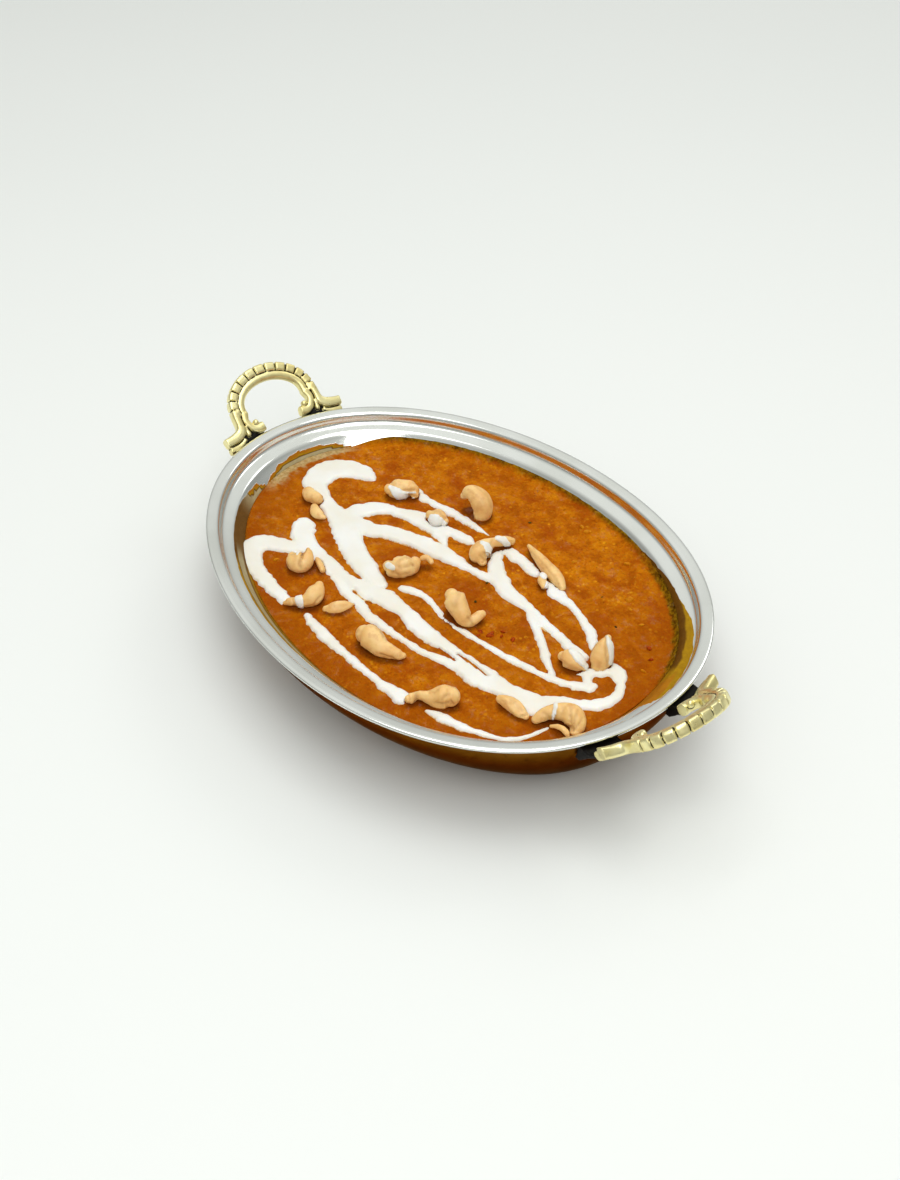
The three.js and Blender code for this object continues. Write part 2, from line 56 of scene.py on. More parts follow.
# [depth, inset in x, inset in y] from the rim at the top and the foot of each wall.
SHOULDER, LINER_FLOOR = (11.0, 14.5, 14.5), (DISH_HEIGHT - 2.9, 28.5, 38.5)
JACKET_TOP, JACKET_FOOT = (2.3, 2.7, 2.7), (DISH_HEIGHT - 0.8, 22.4, 32.8)
HANDLE_TURN_X, HANDLE_TILT = 112.0, math.radians(43)
# Each handle's end of the dish, foot line, shift along the rim, turn in degrees, size, and how far
# the tips of its leaves bend in and up. They bend from this far across, fully this much further.
HANDLES = {
    "near": (1, 113.4, 1.7, 2.8, 0.95, 1.2, 2.5),
    "far": (-1, 112.0, 0.0, 0.0, 1.0, 0.0, 0.0),
}
BEND_FROM, BEND_OVER = 15, 12

# ---- how finely things are made ----

AROUND = 288  # facets round the oval
CURRY_GRID = 300  # places across the curry
VOXEL = 0.25  # of the handles' skin
KERNEL_ROWS, KERNEL_AROUND = 64, 48
CREAM_PITCH = 0.45

# ---- the photo's view ----

RIGHT = np.array([0.608, 0.794, 0.0])
UP = np.array([-0.507, 0.388, 0.769])
TOWARD = np.array([0.611, -0.468, 0.639])


# ---- numbers ----

LATTICE = 64  # the noise repeats after this many cells
NOISE_START = 31.7  # the cell that the origin is in
FAR_OFF = 1e9


@functools.cache
def lattice(dimensions, seed):
    return np.random.default_rng(seed).uniform(-1, 1, (LATTICE,) * dimensions)


def value_noise(places, cell, seed):
    """Smooth random relief in -1..1 with bumps about one cell wide. places is (..., 2 or 3)."""
    places = np.asarray(places, float)
    dims = places.shape[-1]
    table = lattice(dims, seed)
    scaled = places / cell + NOISE_START
    low = np.floor(scaled).astype(int)
    part = scaled - low
    part = part * part * (3 - 2 * part)
    total = np.zeros(places.shape[:-1])
    for corner in range(2**dims):
        weight = np.ones(places.shape[:-1])
        index = []
        for d in range(dims):
            bit = (corner >> d) & 1
            weight = weight * (part[..., d] if bit else 1 - part[..., d])
            index.append((low[..., d] + bit) % LATTICE)
        total += weight * table[tuple(index)]
    return total


def fractal(places, cell, seed, octaves=3):
    """Noise whose finer layers are half as wide and half as high."""
    return sum(value_noise(places, cell / 2**k, seed + k) / 2**k for k in range(octaves))


def smoothstep(low, high, value):
    t = np.clip((value - low) / (high - low), 0, 1)
    return t * t * (3 - 2 * t)


def bell(value, middle, half):
    """1 at the middle, falling smoothly to 0 this far from it. Degrees wrap round."""
    away = np.abs((value - middle + 180) % 360 - 180)
    return 1 - smoothstep(0.55 * half, half, away)


def unit(v):
    return v / np.maximum(np.linalg.norm(v, axis=-1, keepdims=True), 1e-9)


def power(value, exponent):
    return np.sign(value) * np.abs(value) ** exponent


def path_lengths(path):
    """How far along a path each of its points lies."""
    return np.concatenate([[0], np.cumsum(np.linalg.norm(np.diff(path, axis=0), axis=1))])


def smooth_path(places, count, steps=24):
    """Evenly spaced points along a centripetal Catmull-Rom curve, worked out in this many steps
    from place to place. Every column is carried along."""

    def between(a, b, start, end, t):
        return (end - t) / (end - start) * a + (t - start) / (end - start) * b

    p = np.asarray(places, float)
    q = np.vstack([2 * p[0] - p[1], p, 2 * p[-1] - p[-2]])
    knots = np.concatenate([[0], np.cumsum(np.linalg.norm(np.diff(q, axis=0), axis=1) ** 0.5)])
    fine = []
    for k in range(len(p) - 1):
        t0, t1, t2, t3 = knots[k : k + 4]
        for t in np.linspace(t1, t2, steps, endpoint=k == len(p) - 2):
            a = between(q[k], q[k + 1], t0, t1, t)
            b = between(q[k + 1], q[k + 2], t1, t2, t)
            c = between(q[k + 2], q[k + 3], t2, t3, t)
            fine.append(between(between(a, b, t0, t2, t), between(b, c, t1, t3, t), t1, t2, t))
    fine = np.array(fine)
    gone = path_lengths(fine[:, :2])
    even = np.linspace(0, gone[-1], count)
    return np.stack([np.interp(even, gone, column) for column in fine.T], -1)


def line_distance(places, line):
    """How far places are from a line of [right, up] places, and how far along it they lie."""
    line = np.asarray(line, float)
    best = np.full(places.shape[:-1], FAR_OFF)
    along = np.zeros(places.shape[:-1])
    for k in range(len(line) - 1):
        step = line[k + 1, :2] - line[k, :2]
        t = np.clip(((places - line[k, :2]) @ step) / max(step @ step, 1e-9), 0, 1)
        away = np.linalg.norm(places - line[k, :2] - t[..., None] * step, axis=-1)
        along = np.where(away < best, k + t, along)
        best = np.minimum(best, away)
    return best, along


# ---- meshes ----


def loft(rows, around, first=0):
    """Quads over a grid of rings, each closed round, whose points are numbered from first."""
    r, i = np.meshgrid(np.arange(rows - 1), np.arange(around), indexing="ij")
    j, low = (i + 1) % around, first + r * around
    high = low + around
    return np.stack([low + i, low + j, high + j, high + i], -1).reshape(-1, 4)


def capped(rings):
    """Points and faces of a row of rings, each end closed to its middle."""
    rows, around = rings.shape[:2]
    points = np.vstack([rings.reshape(-1, 3), rings[0].mean(0), rings[-1].mean(0)])
    faces = loft(rows, around).tolist()
    i = np.arange(around)
    j = (i + 1) % around
    last = (rows - 1) * around
    faces += np.stack([j, i, np.full(around, rows * around)], -1).tolist()
    faces += np.stack([last + i, last + j, np.full(around, rows * around + 1)], -1).tolist()
    return points, faces


def signed_volume(points, faces):
    total = 0.0
    for size in (3, 4):
        some = np.array([f for f in faces if len(f) == size])
        if len(some):
            for k in range(1, size - 1):
                a, b, c = points[some[:, 0]], points[some[:, k]], points[some[:, k + 1]]
                total += float(np.einsum("ij,ij->i", a, np.cross(b, c)).sum())
    return total


def stacked(bodies):
    """Several closed bodies, each [points, faces], as one, with every body facing outwards."""
    points, faces, first = [], [], 0
    for some, polygons in bodies:
        if signed_volume(some, polygons) < 0:
            polygons = [q[::-1] for q in polygons]
        points.append(some)
        faces += [[i + first for i in q] for q in polygons]
        first += len(some)
    return np.vstack(points), faces


def make_mesh(name, points, faces):
    points = np.asarray(points, float)
    faces = [list(map(int, f)) for f in faces]
    if signed_volume(points, faces) < 0:
        faces = [f[::-1] for f in faces]
    mesh = bpy.data.meshes.new(name)
    mesh.from_pydata((points * MM).tolist(), [], faces)
    mesh.shade_smooth()
    return mesh


def add_object(thing, name):
    holder = bpy.data.objects.new(name, thing)
    bpy.context.scene.collection.objects.link(holder)
    return holder


def add_piece(mesh, material, nodes):
    """A piece of the mesh's name, in place of these nodes of the part."""
    piece = add_object(mesh, mesh.name)
    mesh.materials.append(material)
    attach(piece, "root")
    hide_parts(*nodes)


def paint(mesh, **fields):
    """Gives every vertex a number under each name, which the material reads by that name."""
    for name, values in fields.items():
        attribute = mesh.attributes.new(name, "FLOAT", "POINT")
        attribute.data.foreach_set("value", np.asarray(values, np.float32))


def read_rows(items, field, width, kind=np.float32):
    """A field of all vertices or edges of a mesh, as rows of this width."""
    flat = np.empty(len(items) * width, kind)
    items.foreach_get(field, flat)
    return flat.reshape(-1, width)


def mesh_points(mesh):
    return read_rows(mesh.vertices, "co", 3).astype(float) / MM


def neighbour_mean(values, edges, passes=1):
    """Each vertex's value as the mean of its neighbours' values, several times over."""
    for _ in range(passes):
        total = np.zeros_like(values, float)
        count = np.zeros(len(values))
        for here, there in (edges.T, edges.T[::-1]):
            np.add.at(total, here, values[there])
            np.add.at(count, here, 1)
        count = np.maximum(count, 1)
        values = total / (count[:, None] if values.ndim > 1 else count)
    return values


# ---- shader nodes ----


def srgb(colour):
    """The shader's value of a colour given as it looks on screen, 0 to 255."""
    parts = [((c / 255 + 0.055) / 1.055) ** 2.4 if c > 10 else c / 255 / 12.92 for c in colour]
    return (*parts, 1.0)


class Nodes:
    """Short calls that add nodes to a tree. A tuple for a colour is as it looks on screen."""

    def __init__(self, tree):
        self.tree = tree

    def set(self, socket, value):
        if isinstance(value, bpy.types.NodeSocket):
            self.tree.links.new(value, socket)
        elif isinstance(value, tuple) and len(socket.default_value) == 4:
            socket.default_value = srgb(value)
        else:
            socket.default_value = value

    def add(self, kind, output, inputs=(), **settings):
        """One output of a new node with these [input, value] pairs and settings."""
        node = self.tree.nodes.new("ShaderNode" + kind)
        for name, value in settings.items():
            setattr(node, name, value)
        for name, value in inputs:
            self.set(node.inputs[name], value)
        return node.outputs[output]

    def ramp(self, value, low, high, start=0.0, end=1.0, shape="SMOOTHSTEP"):
        """value from low to high becomes start to end."""
        names = ("Value", "From Min", "From Max", "To Min", "To Max")
        inputs = zip(names, (value, low, high, start, end))
        return self.add("MapRange", "Result", inputs, interpolation_type=shape)

    def math(self, operation, a, b):
        return self.add("Math", 0, ((0, a), (1, b)), operation=operation)

    def times(self, a, b):
        return self.math("MULTIPLY", a, b)

    def uneven(self, value, noise, amount):
        """value, moved up and down by this amount of a noise round 0.5."""
        return self.math("ADD", value, self.times(self.math("SUBTRACT", noise, 0.5), amount))

    def mix(self, factor, a, b):
        return self.add("Mix", 2, ((0, factor), (6, a), (7, b)), data_type="RGBA")

    def tint(self, colour, *layers):
        """A colour with layers of [where, share, colour] over it."""
        for where, share, over in layers:
            colour = self.mix(self.times(where, share), colour, over)
        return colour


class Material(Nodes):
    """A new material with a Principled shader, its textures placed on the object."""

    def __init__(self, name):
        self.material = bpy.data.materials.new(name)
        self.material.use_nodes = True
        super().__init__(self.material.node_tree)
        self.tree.nodes.clear()
        self.shader = self.tree.nodes.new("ShaderNodeBsdfPrincipled")
        out = self.tree.nodes.new("ShaderNodeOutputMaterial")
        self.tree.links.new(self.shader.outputs[0], out.inputs[0])
        self.place = self.add("TexCoord", "Object")

    def noise(self, scale, detail, roughness, stretch=None):
        place = self.place
        if stretch:
            place = self.add("Mapping", "Vector", (("Vector", place), ("Scale", stretch)))
        names = ("Vector", "Scale", "Detail", "Roughness")
        return self.add("TexNoise", "Fac", zip(names, (place, scale, detail, roughness)))

    def cells(self, scale):
        return self.add("TexVoronoi", "Distance", (("Vector", self.place), ("Scale", scale)))

    def attribute(self, name):
        return self.add("Attribute", "Fac", attribute_name=name)

    def bumps(self, *layers):
        """Relief of layers of [height, strength, depth], each over the last."""
        normal = ()
        for height, strength, depth in layers:
            inputs = (("Strength", strength), ("Distance", depth * MM), ("Height", height))
            normal = (("Normal", self.add("Bump", "Normal", inputs + normal)),)
        return normal[0][1]

    def soften(self, weight, radius, scale):
        """Lets light in: red, green and blue go in by these shares of the scale."""
        self.finish(Subsurface_Weight=weight, Subsurface_Radius=radius, Subsurface_Scale=scale * MM)

    def finish(self, **inputs):
        for name, value in inputs.items():
            self.set(self.shader.inputs[name.replace("_", " ")], value)
        return self.material


# ---- materials ----

# The film on the liner runs through these colours as its "tone" goes from 0 to 1. Its brown is
# partly dried film, partly painted shade of the shadowed wall.
BEIGE, BROWN, YELLOW, ORANGE = 0.0, 0.33, 0.66, 1.0


def steel_material():
    m = Material("polished_steel")
    brushed = m.noise(900, 3, 0.6, stretch=(1, 1, 12))
    grain, streak = m.noise(420, 5, 0.65), m.noise(160, 4, 0.6)
    film, tone = m.attribute("film"), m.attribute("tone")
    edge = m.uneven(m.uneven(film, streak, 0.9), grain, 0.5)
    covered = m.times(m.ramp(edge, 0.42, 0.62), m.ramp(film, 0.0, 0.2))
    # Brown: partly dried film, partly painted shade of the shadowed wall.
    brown = m.mix(grain, (116, 74, 4), (76, 46, 1))
    yellow = m.mix(grain, (186, 142, 12), (134, 96, 4))
    orange = m.mix(streak, (184, 118, 14), (146, 88, 6))
    stain = m.mix(grain, (184, 172, 136), (156, 138, 94))
    stain = m.mix(m.ramp(tone, BEIGE, BROWN), stain, brown)
    stain = m.mix(m.ramp(tone, BROWN, YELLOW), stain, yellow)
    stain = m.mix(m.ramp(tone, YELLOW, ORANGE), stain, orange)
    clean = m.mix(m.ramp(m.noise(28, 3, 0.5), 0.35, 0.7), (240, 242, 238), (228, 230, 224))
    crust = m.times(covered, m.ramp(grain, 0.3, 0.7))
    return m.finish(
        Base_Color=m.mix(covered, clean, stain),
        Metallic=m.ramp(covered, 0.0, 1.0, 1.0, 0.0),
        Roughness=m.math("ADD", m.ramp(brushed, 0.3, 0.7, 0.10, 0.17), m.times(covered, 0.5)),
        Specular_IOR_Level=0.1,
        Normal=m.bumps((brushed, 0.04, 0.05), (crust, 0.5, 0.25)),
    )


def copper_material():
    m = Material("aged_copper")
    m.shader.inputs["Specular Tint"].default_value = (0.36, 0.25, 0.10, 1)
    cloud, spots = m.noise(30, 5, 0.6), m.noise(140, 5, 0.7)
    brushed = m.noise(700, 3, 0.5, stretch=(1, 1, 10))
    colour = m.mix(m.ramp(cloud, 0.35, 0.7), (136, 92, 42), (96, 62, 24))
    return m.finish(
        Base_Color=m.mix(m.ramp(spots, 0.55, 0.75), colour, (78, 50, 22)),
        Metallic=1.0,
        Roughness=m.math("ADD", m.ramp(cloud, 0.3, 0.7, 0.24, 0.36), m.times(brushed, 0.08)),
        Normal=m.bumps((brushed, 0.06, 0.05)),
    )


def brass_material():
    m = Material("cast_brass")
    grain, cloud = m.noise(500, 5, 0.7), m.noise(90, 4, 0.6)
    # Black patina in the hollows, and black on the fixings that is partly painted shade under the
    # lip.
    edge = m.uneven(m.attribute("recess"), grain, 0.35)
    black = m.ramp(edge, 0.34, 0.54)
    green = m.times(m.ramp(edge, 0.12, 0.36), m.ramp(cloud, 0.3, 0.6))
    colour = m.mix(m.ramp(cloud, 0.3, 0.7), (250, 241, 182), (230, 214, 146))
    colour = m.mix(green, colour, (128, 112, 38))
    return m.finish(
        Base_Color=m.mix(black, colour, (16, 13, 10)),
        Metallic=m.ramp(black, 0.0, 1.0, 0.95, 0.1),
        Roughness=m.math("ADD", m.ramp(grain, 0.3, 0.7, 0.26, 0.4), m.times(black, 0.1)),
        Specular_IOR_Level=0.15,
        Normal=m.bumps((grain, 0.35, 0.15)),
    )


def curry_material():
    m = Material("curry_sauce")
    mid, fine = m.noise(170, 5, 0.65), m.noise(750, 6, 0.7)
    specks, lumps = m.cells(420), m.cells(130)
    yellow = m.times(m.ramp(specks, 0.34, 0.2), m.ramp(m.noise(130, 3, 0.5), 0.52, 0.64))
    dark = m.times(m.ramp(m.cells(610), 0.2, 0.1), m.ramp(m.noise(210, 3, 0.5), 0.52, 0.62))
    # Dark olive where the curry meets the wall: partly film, partly painted shade of the shadowed
    # wall.
    on_wall = m.mix(m.ramp(fine, 0.42, 0.58), (92, 58, 2), (142, 100, 8))
    dried = m.mix(m.ramp(fine, 0.4, 0.6), (170, 140, 86), (196, 172, 122))
    oil = m.times(m.ramp(m.noise(330, 4, 0.6), 0.53, 0.62), m.ramp(mid, 0.42, 0.56))
    colour = m.tint(
        m.mix(m.ramp(m.noise(45, 4, 0.6), 0.3, 0.7), (194, 110, 4), (176, 90, 2)),
        (m.ramp(mid, 0.5, 0.62), 0.5, (210, 132, 8)),
        (m.ramp(mid, 0.48, 0.38), 0.55, (148, 70, 1)),
        (m.ramp(fine, 0.54, 0.68), 0.45, (222, 152, 40)),
        (m.ramp(fine, 0.46, 0.34), 0.6, (126, 58, 1)),
        (m.ramp(m.noise(95, 4, 0.6), 0.52, 0.66), 0.6, (156, 66, 4)),
        (yellow, 0.6, (232, 158, 26)),
        (dark, 0.7, (112, 48, 14)),
        # Painted shade towards the wall.
        (m.attribute("shade"), 0.75, (150, 72, 2)),
        # Painted shadow at the foot of each nut.
        (m.attribute("painted_nut_shadow"), 0.8, (92, 38, 2)),
    )
    colour = m.mix(m.attribute("rim"), colour, on_wall)
    m.soften(0.25, (1.0, 0.45, 0.12), 1.2)
    return m.finish(
        Base_Color=m.mix(m.attribute("smear"), colour, dried),
        Roughness=0.5,
        Specular_IOR_Level=0.02,
        Coat_Weight=m.times(oil, 0.45),
        Coat_Roughness=0.09,
        Normal=m.bumps((lumps, 0.25, 0.5), (mid, 0.9, 1.1), (fine, 0.9, 0.32), (specks, 0.25, 0.2)),
        Coat_Normal=m.bumps((lumps, 0.4, 0.6), (m.noise(1300, 3, 0.6), 0.9, 0.5)),
    )


def cream_material():
    m = Material("poured_cream")
    broad = m.noise(60, 3, 0.5)
    veil = m.uneven(m.attribute("thin"), m.noise(600, 4, 0.6), 0.35)
    colour = m.mix(m.ramp(broad, 0.3, 0.7), (240, 240, 235), (234, 230, 217))
    m.soften(0.35, (1.0, 0.8, 0.55), 1.4)
    return m.finish(
        Base_Color=m.mix(m.ramp(veil, 0.45, 0.95), colour, (226, 190, 128)),
        Roughness=m.ramp(broad, 0.3, 0.7, 0.3, 0.42),
        Specular_IOR_Level=0.4,
        Normal=m.bumps((m.noise(120, 3, 0.5), 0.12, 0.3)),
    )


def cashew_material():
    m = Material("cashew")
    brown = (206, 144, 74)
    cloud, fine = m.noise(130, 4, 0.55), m.noise(900, 5, 0.65)
    # Sauce colour near the curry, which also darkens each nut's underside as painted shade.
    sauce_and_shade = m.uneven(m.attribute("sauce"), m.noise(330, 4, 0.6), 0.6)
    colour = m.tint(
        m.mix(m.ramp(cloud, 0.3, 0.7), (246, 208, 140), (234, 183, 108)),
        (m.ramp(m.noise(240, 4, 0.6), 0.52, 0.7), 0.45, brown),
        (m.ramp(fine, 0.55, 0.75), 0.25, brown),
        # Painted shade in the creases.
        (m.attribute("crease"), 0.5, (160, 98, 36)),
    )
    m.soften(0.25, (1.0, 0.6, 0.3), 1.2)
    return m.finish(
        Base_Color=m.mix(m.ramp(sauce_and_shade, 0.4, 0.85), colour, (190, 106, 16)),
        Roughness=m.ramp(fine, 0.3, 0.7, 0.32, 0.46),
        Normal=m.bumps((cloud, 0.15, 0.4), (fine, 0.18, 0.08)),
    )


def bit_material(name, light, dark, roughness):
    m = Material(name)
    m.soften(0.2, (1.0, 0.4, 0.2), 0.8)
    return m.finish(
        Base_Color=m.mix(m.ramp(m.noise(900, 3, 0.6), 0.35, 0.65), light, dark),
        Roughness=roughness,
        Specular_IOR_Level=0.05,
        Normal=m.bumps((m.noise(700, 4, 0.6), 0.5, 0.2)),
    )


BRASS, CREAM, CASHEW = brass_material(), cream_material(), cashew_material()


# ---- the oval dish ----


def oval(angle, inset_x, inset_y):
    """Where an oval this far in from the rim passes, at an angle round the dish."""
    grow = 1 - EGG * np.cos(3 * angle)
    x = (HALF_LENGTH - inset_x) * power(np.cos(angle), 2 / ROUNDNESS) * grow + RIM_SHIFT_X
    y = (HALF_WIDTH - inset_y) * power(np.sin(angle), 2 / ROUNDNESS) * grow
    return x, y


def rounded(rows, passes):
    """Rows with every corner between the ends cut off, several times over."""
    for _ in range(passes):
        cut = [rows[0]]
        for a, b in zip(rows[:-1], rows[1:]):
            cut += [0.75 * a + 0.25 * b, 0.25 * a + 0.75 * b]
        rows = np.array(cut + [rows[-1]])
    return rows


def wall_rows(top, foot, depths):
    """[depth, inset in x, inset in y] down a wall that curves in from its top to its foot."""
    sweep = ((depths - top[0]) / (foot[0] - top[0])) ** WALL_CURVE
    return np.stack([depths] + [top[k] + (foot[k] - top[k]) * sweep for k in (1, 2)], -1)


def offset_rows(rows, distance):
    """Such rows moved across their own slope, inwards when positive."""
    step = np.gradient(rows, axis=0)
    slopes = [np.arctan2(step[:, k], step[:, 0]) for k in (1, 2)]
    depth = rows[:, 0] - distance * np.sin((slopes[0] + slopes[1]) / 2)
    return np.stack([depth] + [rows[:, k + 1] + distance * np.cos(slopes[k]) for k in (0, 1)], -1)


def oval_rings(rows):
    angle = np.linspace(0, 2 * math.pi, AROUND, endpoint=False)
    return np.array([
        np.stack([*oval(angle, inset_x, inset_y), np.full(AROUND, DISH_HEIGHT - depth)], -1)
        for depth, inset_x, inset_y in rows
    ])


# The liner's rim as [depth, inset]: its curled lip, flat band, step, ledge and shoulder.
RIM_PROFILE = np.array([
    [1.3, 0.3], [0.65, 0.0], [0.15, 0.35], [0.0, 1.2], [0.1, 2.0], [0.35, 3.9], [0.75, 4.75],
    [1.6, 5.15], [3.7, 5.5], [4.6, 5.95], [5.05, 6.9], [5.75, 9.6], [6.3, 10.7], [7.7, 11.6],
])
liner_wall = wall_rows(SHOULDER, LINER_FLOOR, np.linspace(SHOULDER[0], LINER_FLOOR[0], 24))
LINER_INSIDE = rounded(np.vstack([RIM_PROFILE[:, [0, 1, 1]], liner_wall]), 2)


def wall_height(inset):
    """Height of the liner's inside at an inset from the rim, on its ledge and upper wall."""
    near = LINER_INSIDE[(LINER_INSIDE[:, 0] > 6.0) & (LINER_INSIDE[:, 0] < 16.0)]
    return DISH_HEIGHT - np.interp(inset, near[:, 1], near[:, 0])


# How far in from the rim the dried film on the liner begins, as [degrees round the dish, inset].
FILM_EDGE = [
    [0, 12], [5, 10], [10, 7.2], [20, 6.2], [30, 6.3], [40, 7], [50, 9.9], [60, 10.9], [70, 11.6],
    [90, 12.2], [150, 12.8], [163, 14.4], [167, 12.6], [172, 12], [181, 11.6], [190, 12.3],
    [194, 13], [198, 14.4], [202, 12], [215, 10.7], [230, 10.2], [245, 9.8], [260, 9.9],
    [280, 10.5], [300, 12], [360, 12],
]
# Where each pattern of the film starts and ends, in degrees, and the middle and half of the last.
FILM_RIGHT, FILM_FAR, FILM_LEFT, FILM_END = (335, 78), (78, 163), (199, 300), (181, 26)
# In the left one, where the brown comes and goes and where the lines come. In the right one, where
# the sauce near the handle goes.
BROWN_COMES, BROWN_GOES, LINES_COME, SAUCE_GOES = (204, 216), (238, 228), (228, 242), (26, 15)


def film_on_wall(points, inset):
    """How far the film covers the liner's inside, and its tone, whose brown is partly painted shade
    of the shadowed wall.
    """
    x, y = points[:, 0], points[:, 1]
    signed = np.degrees(np.arctan2(y / HALF_WIDTH, (x - RIM_SHIFT_X) / HALF_LENGTH))
    around = signed % 360
    jag = fractal(points, 3.2, 40, 3)
    left = (around > FILM_LEFT[0]) & (around < FILM_LEFT[1])
    right = (around > FILM_RIGHT[0]) | (around < FILM_RIGHT[1])
    far = (around >= FILM_FAR[0]) & (around < FILM_FAR[1])
    past = inset + 0.3 * jag * np.where(left, 0.25, 1.0) - np.interp(around, *np.array(FILM_EDGE).T)

    # On the left, the brown is partly film and partly painted shade of the shadowed wall.
    brown_film_and_shade = smoothstep(*BROWN_COMES, around) * smoothstep(*BROWN_GOES, around)
    lines = np.maximum(smoothstep(1.1, 0.7, past), smoothstep(13.0, 13.6, inset))
    lines = lines * smoothstep(*LINES_COME, around)
    tone = 0.04 + 0.24 * brown_film_and_shade + 0.58 * lines
    ragged = inset + 0.5 * jag
    # On the right, brown towards the curry: partly film, partly painted shade of the shadowed wall.
    tone = np.where(right, YELLOW + (BROWN - YELLOW) * smoothstep(8.9, 9.9, ragged), tone)
    sauce = np.where(right, smoothstep(*SAUCE_GOES, signed), 0) * smoothstep(7.6, 8.5, ragged)
    tone = tone + (ORANGE - tone) * sauce
    tone = np.where(far, YELLOW, tone)
    tone = np.where(bell(around, *FILM_END) > 0, smoothstep(1.25, 0.95, past - 0.3 * jag), tone)
    return smoothstep(-0.25, 0.25, past), tone


def make_liner():
    top = int(np.argmin(LINER_INSIDE[:, 0]))
    curl = np.array([[LINER_INSIDE[0, 0] + 0.1, SHEET, SHEET]])
    outside = offset_rows(LINER_INSIDE[top:], -SHEET)
    outside[-1, 0] = LINER_FLOOR[0] + SHEET
    rows = np.vstack([LINER_INSIDE[::-1], curl, outside])
    points, faces = capped(oval_rings(rows))
    mesh = make_mesh("steel_liner_sheet", points, faces)
    middles = [60, 60]  # the two points that close the mesh
    inset = np.concatenate([np.repeat(rows[:, 1], AROUND), middles])
    film, tone = film_on_wall(points, inset)
    film[len(LINER_INSIDE) * AROUND :] = 0
    paint(mesh, film=film, tone=tone)
    add_piece(mesh, steel_material(), ["steel_liner"])


def make_jacket():
    wall = wall_rows(JACKET_TOP, JACKET_FOOT, np.linspace(JACKET_TOP[0], JACKET_FOOT[0], 40))
    foot = np.array([[DISH_HEIGHT - 0.25, 23.5, 33.9], [DISH_HEIGHT, 25.4, 35.8]])
    inside = offset_rows(wall, SHEET)
    inside[-1, 0] = DISH_HEIGHT - SHEET
    points, faces = capped(oval_rings(np.vstack([inside[::-1], wall, foot])))
    mesh = make_mesh("copper_jacket_sheet", points, faces)
    add_piece(mesh, copper_material(), ["copper_jacket"])


# ---- handles ----

ARCH_OUT = 9.5
ARCH_SWING = math.radians(100)
BEADS, BEAD_GAP = 13, 0.024
# The bars of one foot, as [out, across, half width] along each, with their half thickness, how
# square they are, their lift and which ends are rounded.
FOOT_BARS = {
    "leaf": ([[11, 18.1, 1.9], [7, 18.8, 1.65], [4.7, 18.9, 1.6], [2.4, 19.2, 2], [0.9, 20.4, 2.2],
        [0, 22.2, 2.3], [-0.6, 24.6, 2.2], [-0.9, 27.7, 2]], 2.4, 3.2, 0.2, (True, False)),
    "lip": ([[-1.6, 18.6, 0.6], [-3, 20.6, 1.1], [-3.8, 22.8, 1.4], [-4, 25, 1.8], [-3.8, 27, 2]],
        1.9, 3.0, -0.5, (True, False)),
    "bud": ([[3.4, 16.8, 0.4], [1.5, 16.9, 0.8], [-0.3, 16.8, 1.2], [-1.6, 17, 0.9]],
        1.9, 2.4, 0.0, (True, True)),
    "scroll": ([[9.6, 14.2, 2], [7, 15.2, 1.8], [5, 15.6, 1.6], [2.8, 14.8, 1.6], [0.9, 13.4, 1.7],
        [0.4, 11.6, 1.9], [0.8, 9, 2.1]], 2.2, 2.8, 0.0, (True, False)),
}
# The thin web along a foot's underside, likewise.
WEB = ([[-0.5, 9.5, 1.0], [-1.0, 13, 1.6], [-1.3, 17, 2.4], [-2.6, 21, 1.5], [-3.5, 24.5, 1.2]],
       1.0, 3.0, -0.9, (False, False))
# The pad under the lip as [depth, outset], and how far across it reaches.
PAD_ROWS = [[2.6, 2.8], [5.0, 2.0], [8.5, -1.5]]
PAD_ACROSS, PAD_COUNT = (12.0, 25.0), 20
# How far the smoothed skin lies over a hollow where its black patina starts and is full, and how
# high over the rim the fixings, painted black as patina and as painted shade, can reach.
RECESS, FIXINGS_REACH = (0.012, 0.11), 5


def plane_sweep(path, half_width, half_thickness, count, squareness, lift=0.0, ends=(True, True)):
    """A bar in the handle's plane along (out, across) points. ends tells which ends are rounded."""
    gone = path_lengths(path)
    near = np.full(len(path), FAR_OFF)
    if ends[0]:
        near = np.minimum(near, gone)
    if ends[1]:
        near = np.minimum(near, gone[-1] - gone)
    reach = np.minimum(half_width, 0.45 * gone[-1])
    ease = np.sqrt(np.clip(1 - (1 - np.clip(near / reach, 0, 1)) ** 2, 0.02, 1))
    width, thick = half_width * ease, half_thickness * (0.35 + 0.65 * ease)
    ahead = unit(np.gradient(path, axis=0))
    side = np.stack([-ahead[:, 1], ahead[:, 0]], -1)
    turn = np.linspace(0, 2 * math.pi, count, endpoint=False) + math.pi / count
    across, high = power(np.cos(turn), 2 / squareness), power(np.sin(turn), 2 / squareness)
    flat = path[:, None, :] + side[:, None, :] * (width[:, None, None] * across[None, :, None])
    through = thick[:, None] * high[None, :] + lift
    return np.concatenate([flat, through[..., None]], -1)


def foot_bar(mirror, spec, fine, count):
    places, thick, squareness, lift, ends = spec
    path = smooth_path(np.array(places) * (1, mirror, 1), fine)
    return plane_sweep(path[:, :2], path[:, 2], thick, count, squareness, lift, ends)


def arch_path(half_width, rise, start, end, count):
    turn = np.linspace(start, end, count)
    return np.stack([ARCH_OUT + rise * np.cos(turn), half_width * np.sin(turn)], -1)


